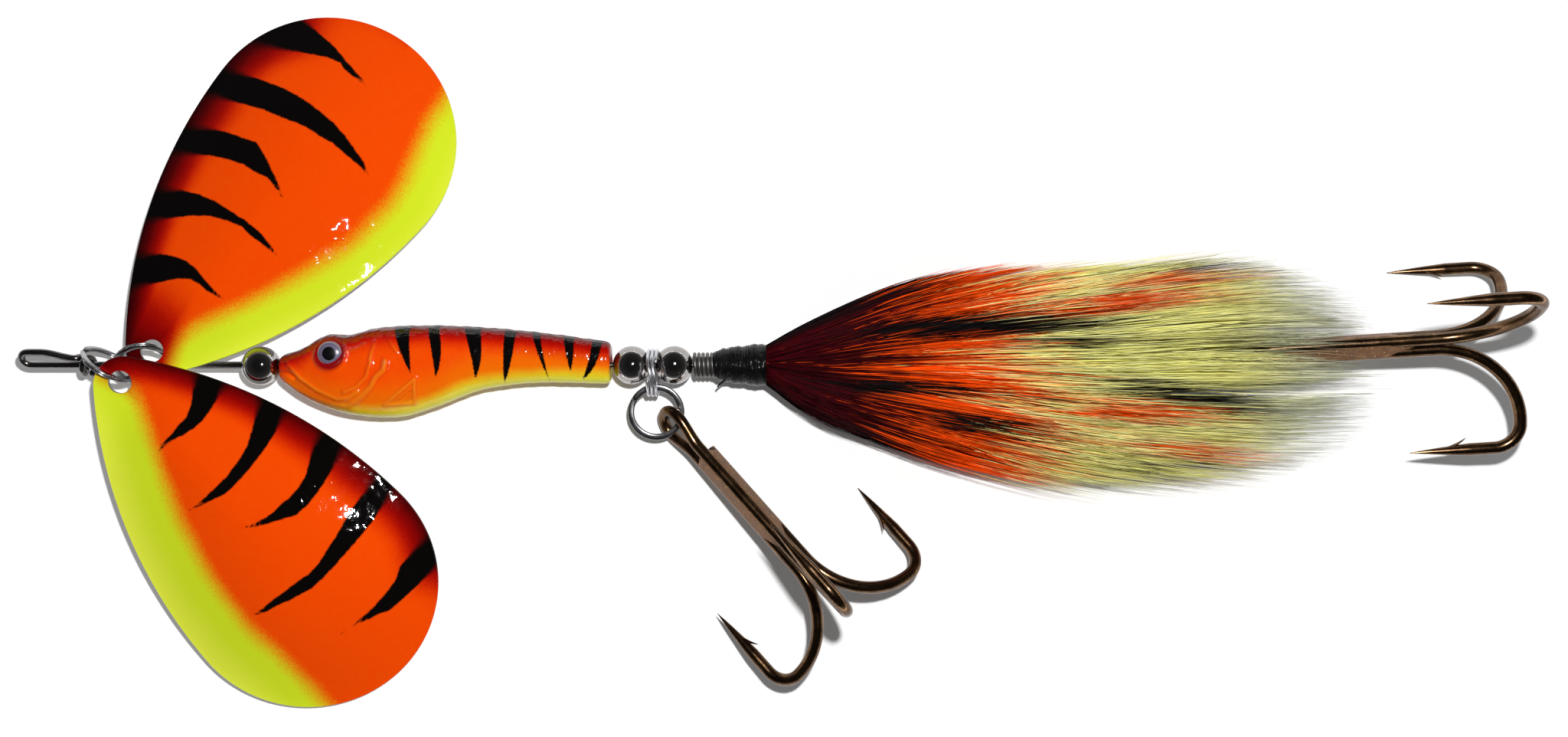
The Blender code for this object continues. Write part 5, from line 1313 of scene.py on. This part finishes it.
def hairs(random, count, share, lengths, bands, band_shake, flare, locks, stray):
    """Grid of hairs by steps by sides, and their dye.

    The place in the section is (q, p) inside the unit circle. Sideways the hair runs between the two edges of the
    bundle, y = middle + half width times q; upwards z = middle + half height times p. Its lock pulls q towards a
    common value near the tip, flare lets it spread past the edge, and tips gather into wisps.
    """
    lock = random.integers(0, locks, count)
    lock_turn = random.uniform(0, ROUND, locks)
    lock_share = np.sqrt(random.uniform(share[0] ** 2, share[1] ** 2, locks))
    turn = lock_turn[lock] + random.normal(0, LOCK_TURN, count)
    rho = np.clip(lock_share[lock] + random.normal(0, LOCK_OUT, count), 0.02, 1.0)
    q, p = rho * np.cos(turn), rho * np.sin(turn)
    lock_q = lock_share * np.cos(lock_turn)
    lock_end = random.uniform(*lengths, locks)
    end = np.clip(lock_end[lock] + random.normal(0, LOCK_LENGTH, count), lengths[0] - 4, lengths[1] + 3)
    t = np.linspace(0, 1, HAIR_STEPS)[None, :] ** STEP_POWER
    x = HAIR_ROOT + (end[:, None] - HAIR_ROOT) * t
    top, bottom = curve_through(UPPER_EDGE, x), curve_through(LOWER_EDGE, x)
    gather = GATHER * t**2
    lock_drift, own_drift = random.normal(0, LOCK_DRIFT, locks)[lock], random.normal(0, stray, count)
    drift = lock_drift[:, None] * t**DRIFT_POWER + own_drift[:, None] * t**DRIFT_POWER
    wave_start, wave_turns = random.uniform(0, ROUND, count), random.uniform(*WAVES, count)
    wave = WAVE_HIGH * np.sin(wave_start[:, None] + wave_turns[:, None] * t) * t
    spread = 1 + flare * random.random(count)[:, None] ** 3 * t**2
    q_here = ((q[:, None] * (1 - gather) + lock_q[lock][:, None] * gather) * spread) + drift + wave
    tip_q = q_here[:, -1]
    to_wisp = WISPS[np.abs(tip_q[:, None] - WISPS).argmin(axis=1)] - tip_q
    wisp_pull = WISP_LEAST + WISP_STEP * (lock % 5)
    q_here = q_here + (wisp_pull * to_wisp)[:, None] * smooth_step((t - WISP_FROM) / WISP_OVER)
    q_here = q_here / (1 + np.abs(q_here / WIDEST) ** 6) ** (1 / 6)
    p_here = p[:, None] + random.normal(0, 0.07, count)[:, None] * t + 0.6 * wave
    p_most = np.sqrt(1 - np.minimum(np.abs(q_here), 0.97) ** 2)
    p_here = np.clip(p_here, -p_most, p_most)
    y = straightened((top + bottom) / 2 + (top - bottom) / 2 * q_here, t, STRAIGHT_ACROSS)
    z = straightened(curve_through(MIDDLE_HEIGHT, x) + curve_through(HALF_HEIGHT, x) * p_here, t, STRAIGHT_UP)
    over_hook = HOOK_COVER * np.exp(-(((y - HOOK_LINE) / HOOK_COVER_WIDE) ** 2))
    over_hook = over_hook * smooth_step((x - COVER_FROM) / COVER_OVER)
    z = z + over_hook * np.clip(p_here, 0, 1)
    z = np.maximum(z, LOWEST_HAIR + 0.25 * rho[:, None])
    path = hook_cleared(np.stack([x, y, z], axis=-1))
    heading = unit(np.gradient(path, axis=1))
    side = unit(np.cross(heading, (0.0, 0.0, 1.0)))
    other = np.cross(heading, side)
    thin = HAIR_RADIUS * random.uniform(*THICKNESSES, count)[:, None] * (1 - THINS_BY * t**3)
    corner = np.radians(np.array((90, 210, 330)))
    out = np.cos(corner)[:, None] * side[:, :, None] + np.sin(corner)[:, None] * other[:, :, None]
    grid = path[:, :, None] + thin[:, :, None, None] * out
    hair_shift = np.broadcast_to(random.normal(0, band_shake, count)[:, None], x.shape)
    seed_share = np.broadcast_to(random.random(count)[:, None], x.shape)
    colour = dye_colours(x, y, np.broadcast_to(q[:, None], x.shape), hair_shift, seed_share, bands)
    tip = smooth_step((x - TIP_FROM) / TIP_OVER)[..., None] * TIP_SHARE
    colour = colour * (1 - tip) + np.array(GREY_TIP) * tip
    brightness = np.where(random.random(count) < DARK_HAIRS, DARK_TONE, random.uniform(*TONES, count))
    colour = np.clip(colour * brightness[:, None, None], 0, 1)
    colour = np.concatenate([colour, np.ones((*x.shape, 1))], axis=-1)
    return grid, np.repeat(colour[:, :, None], 3, axis=2)


def hair_faces(count):
    """Faces of many three-sided tubes laid one after another, with their two small ends."""
    one = grid_faces(HAIR_STEPS, 3)
    start = np.arange(count)[:, None, None] * HAIR_STEPS * 3
    last = (HAIR_STEPS - 1) * 3
    ends = np.array(((2, 1, 0), (last, last + 1, last + 2)))
    return [(one + start).reshape(-1, 4), (ends + start).reshape(-1, 3)]


# Name, count, place in the section from and to, ends from and to, where maroon and orange end, how much that shakes,
# flare, locks, stray, and the node it stands for.
HAIR_LAYERS = (
    ("long_hair_low", 2400, (0.05, 0.72), (60, 88), (-5.0, 8.0), 7.0, 0.10, 90, 0.12, ("under_hair",)),
    ("long_hair_high", 3200, (0.45, 0.95), (52, 88), (6.0, 28.0), 8.0, 0.08, 140, 0.22, ()),
    ("orange_hair_tied", 2600, (0.72, 1.0), (26, 60), (10.0, 40.0), 6.0, 0.10, 100, 0.15, ("middle_hair",)),
    ("maroon_hair_tied", 2500, (0.86, 1.0), (11, 32), (18.0, 46.0), 5.0, 0.14, 80, 0.1, ("outer_hair",)),
    ("crossing_hair", 1000, (0.9, 1.0), (44, 86), (13.0, 31.0), 6.0, 0.12, 500, 0.6, ()),
    ("stray_hair", 260, (0.75, 1.0), (30, 94), (12.0, 30.0), 8.0, 0.5, 160, 0.15, ()),
)
LONG_BEND = ("tail_hook", (56.0, 1.8, 6.0), (76.0, 1.8, 6.0))
for number, (name, count, *growth, stands_for) in enumerate(HAIR_LAYERS):
    grid, colour = hairs(np.random.default_rng(40 + number), count, *growth)
    slot = {"orange_hair_tied": "orange_hair", "maroon_hair_tied": "maroon_hair"}.get(name, "chartreuse_hair")
    values = {"dye": colour.reshape(-1, 4)}
    bend = LONG_BEND if slot == "chartreuse_hair" else None
    shape = grid.reshape(-1, 3), hair_faces(count)
    add_piece(name, *shape, (hair_finish,), "shaft", slot, stands_for, values, bend=bend)
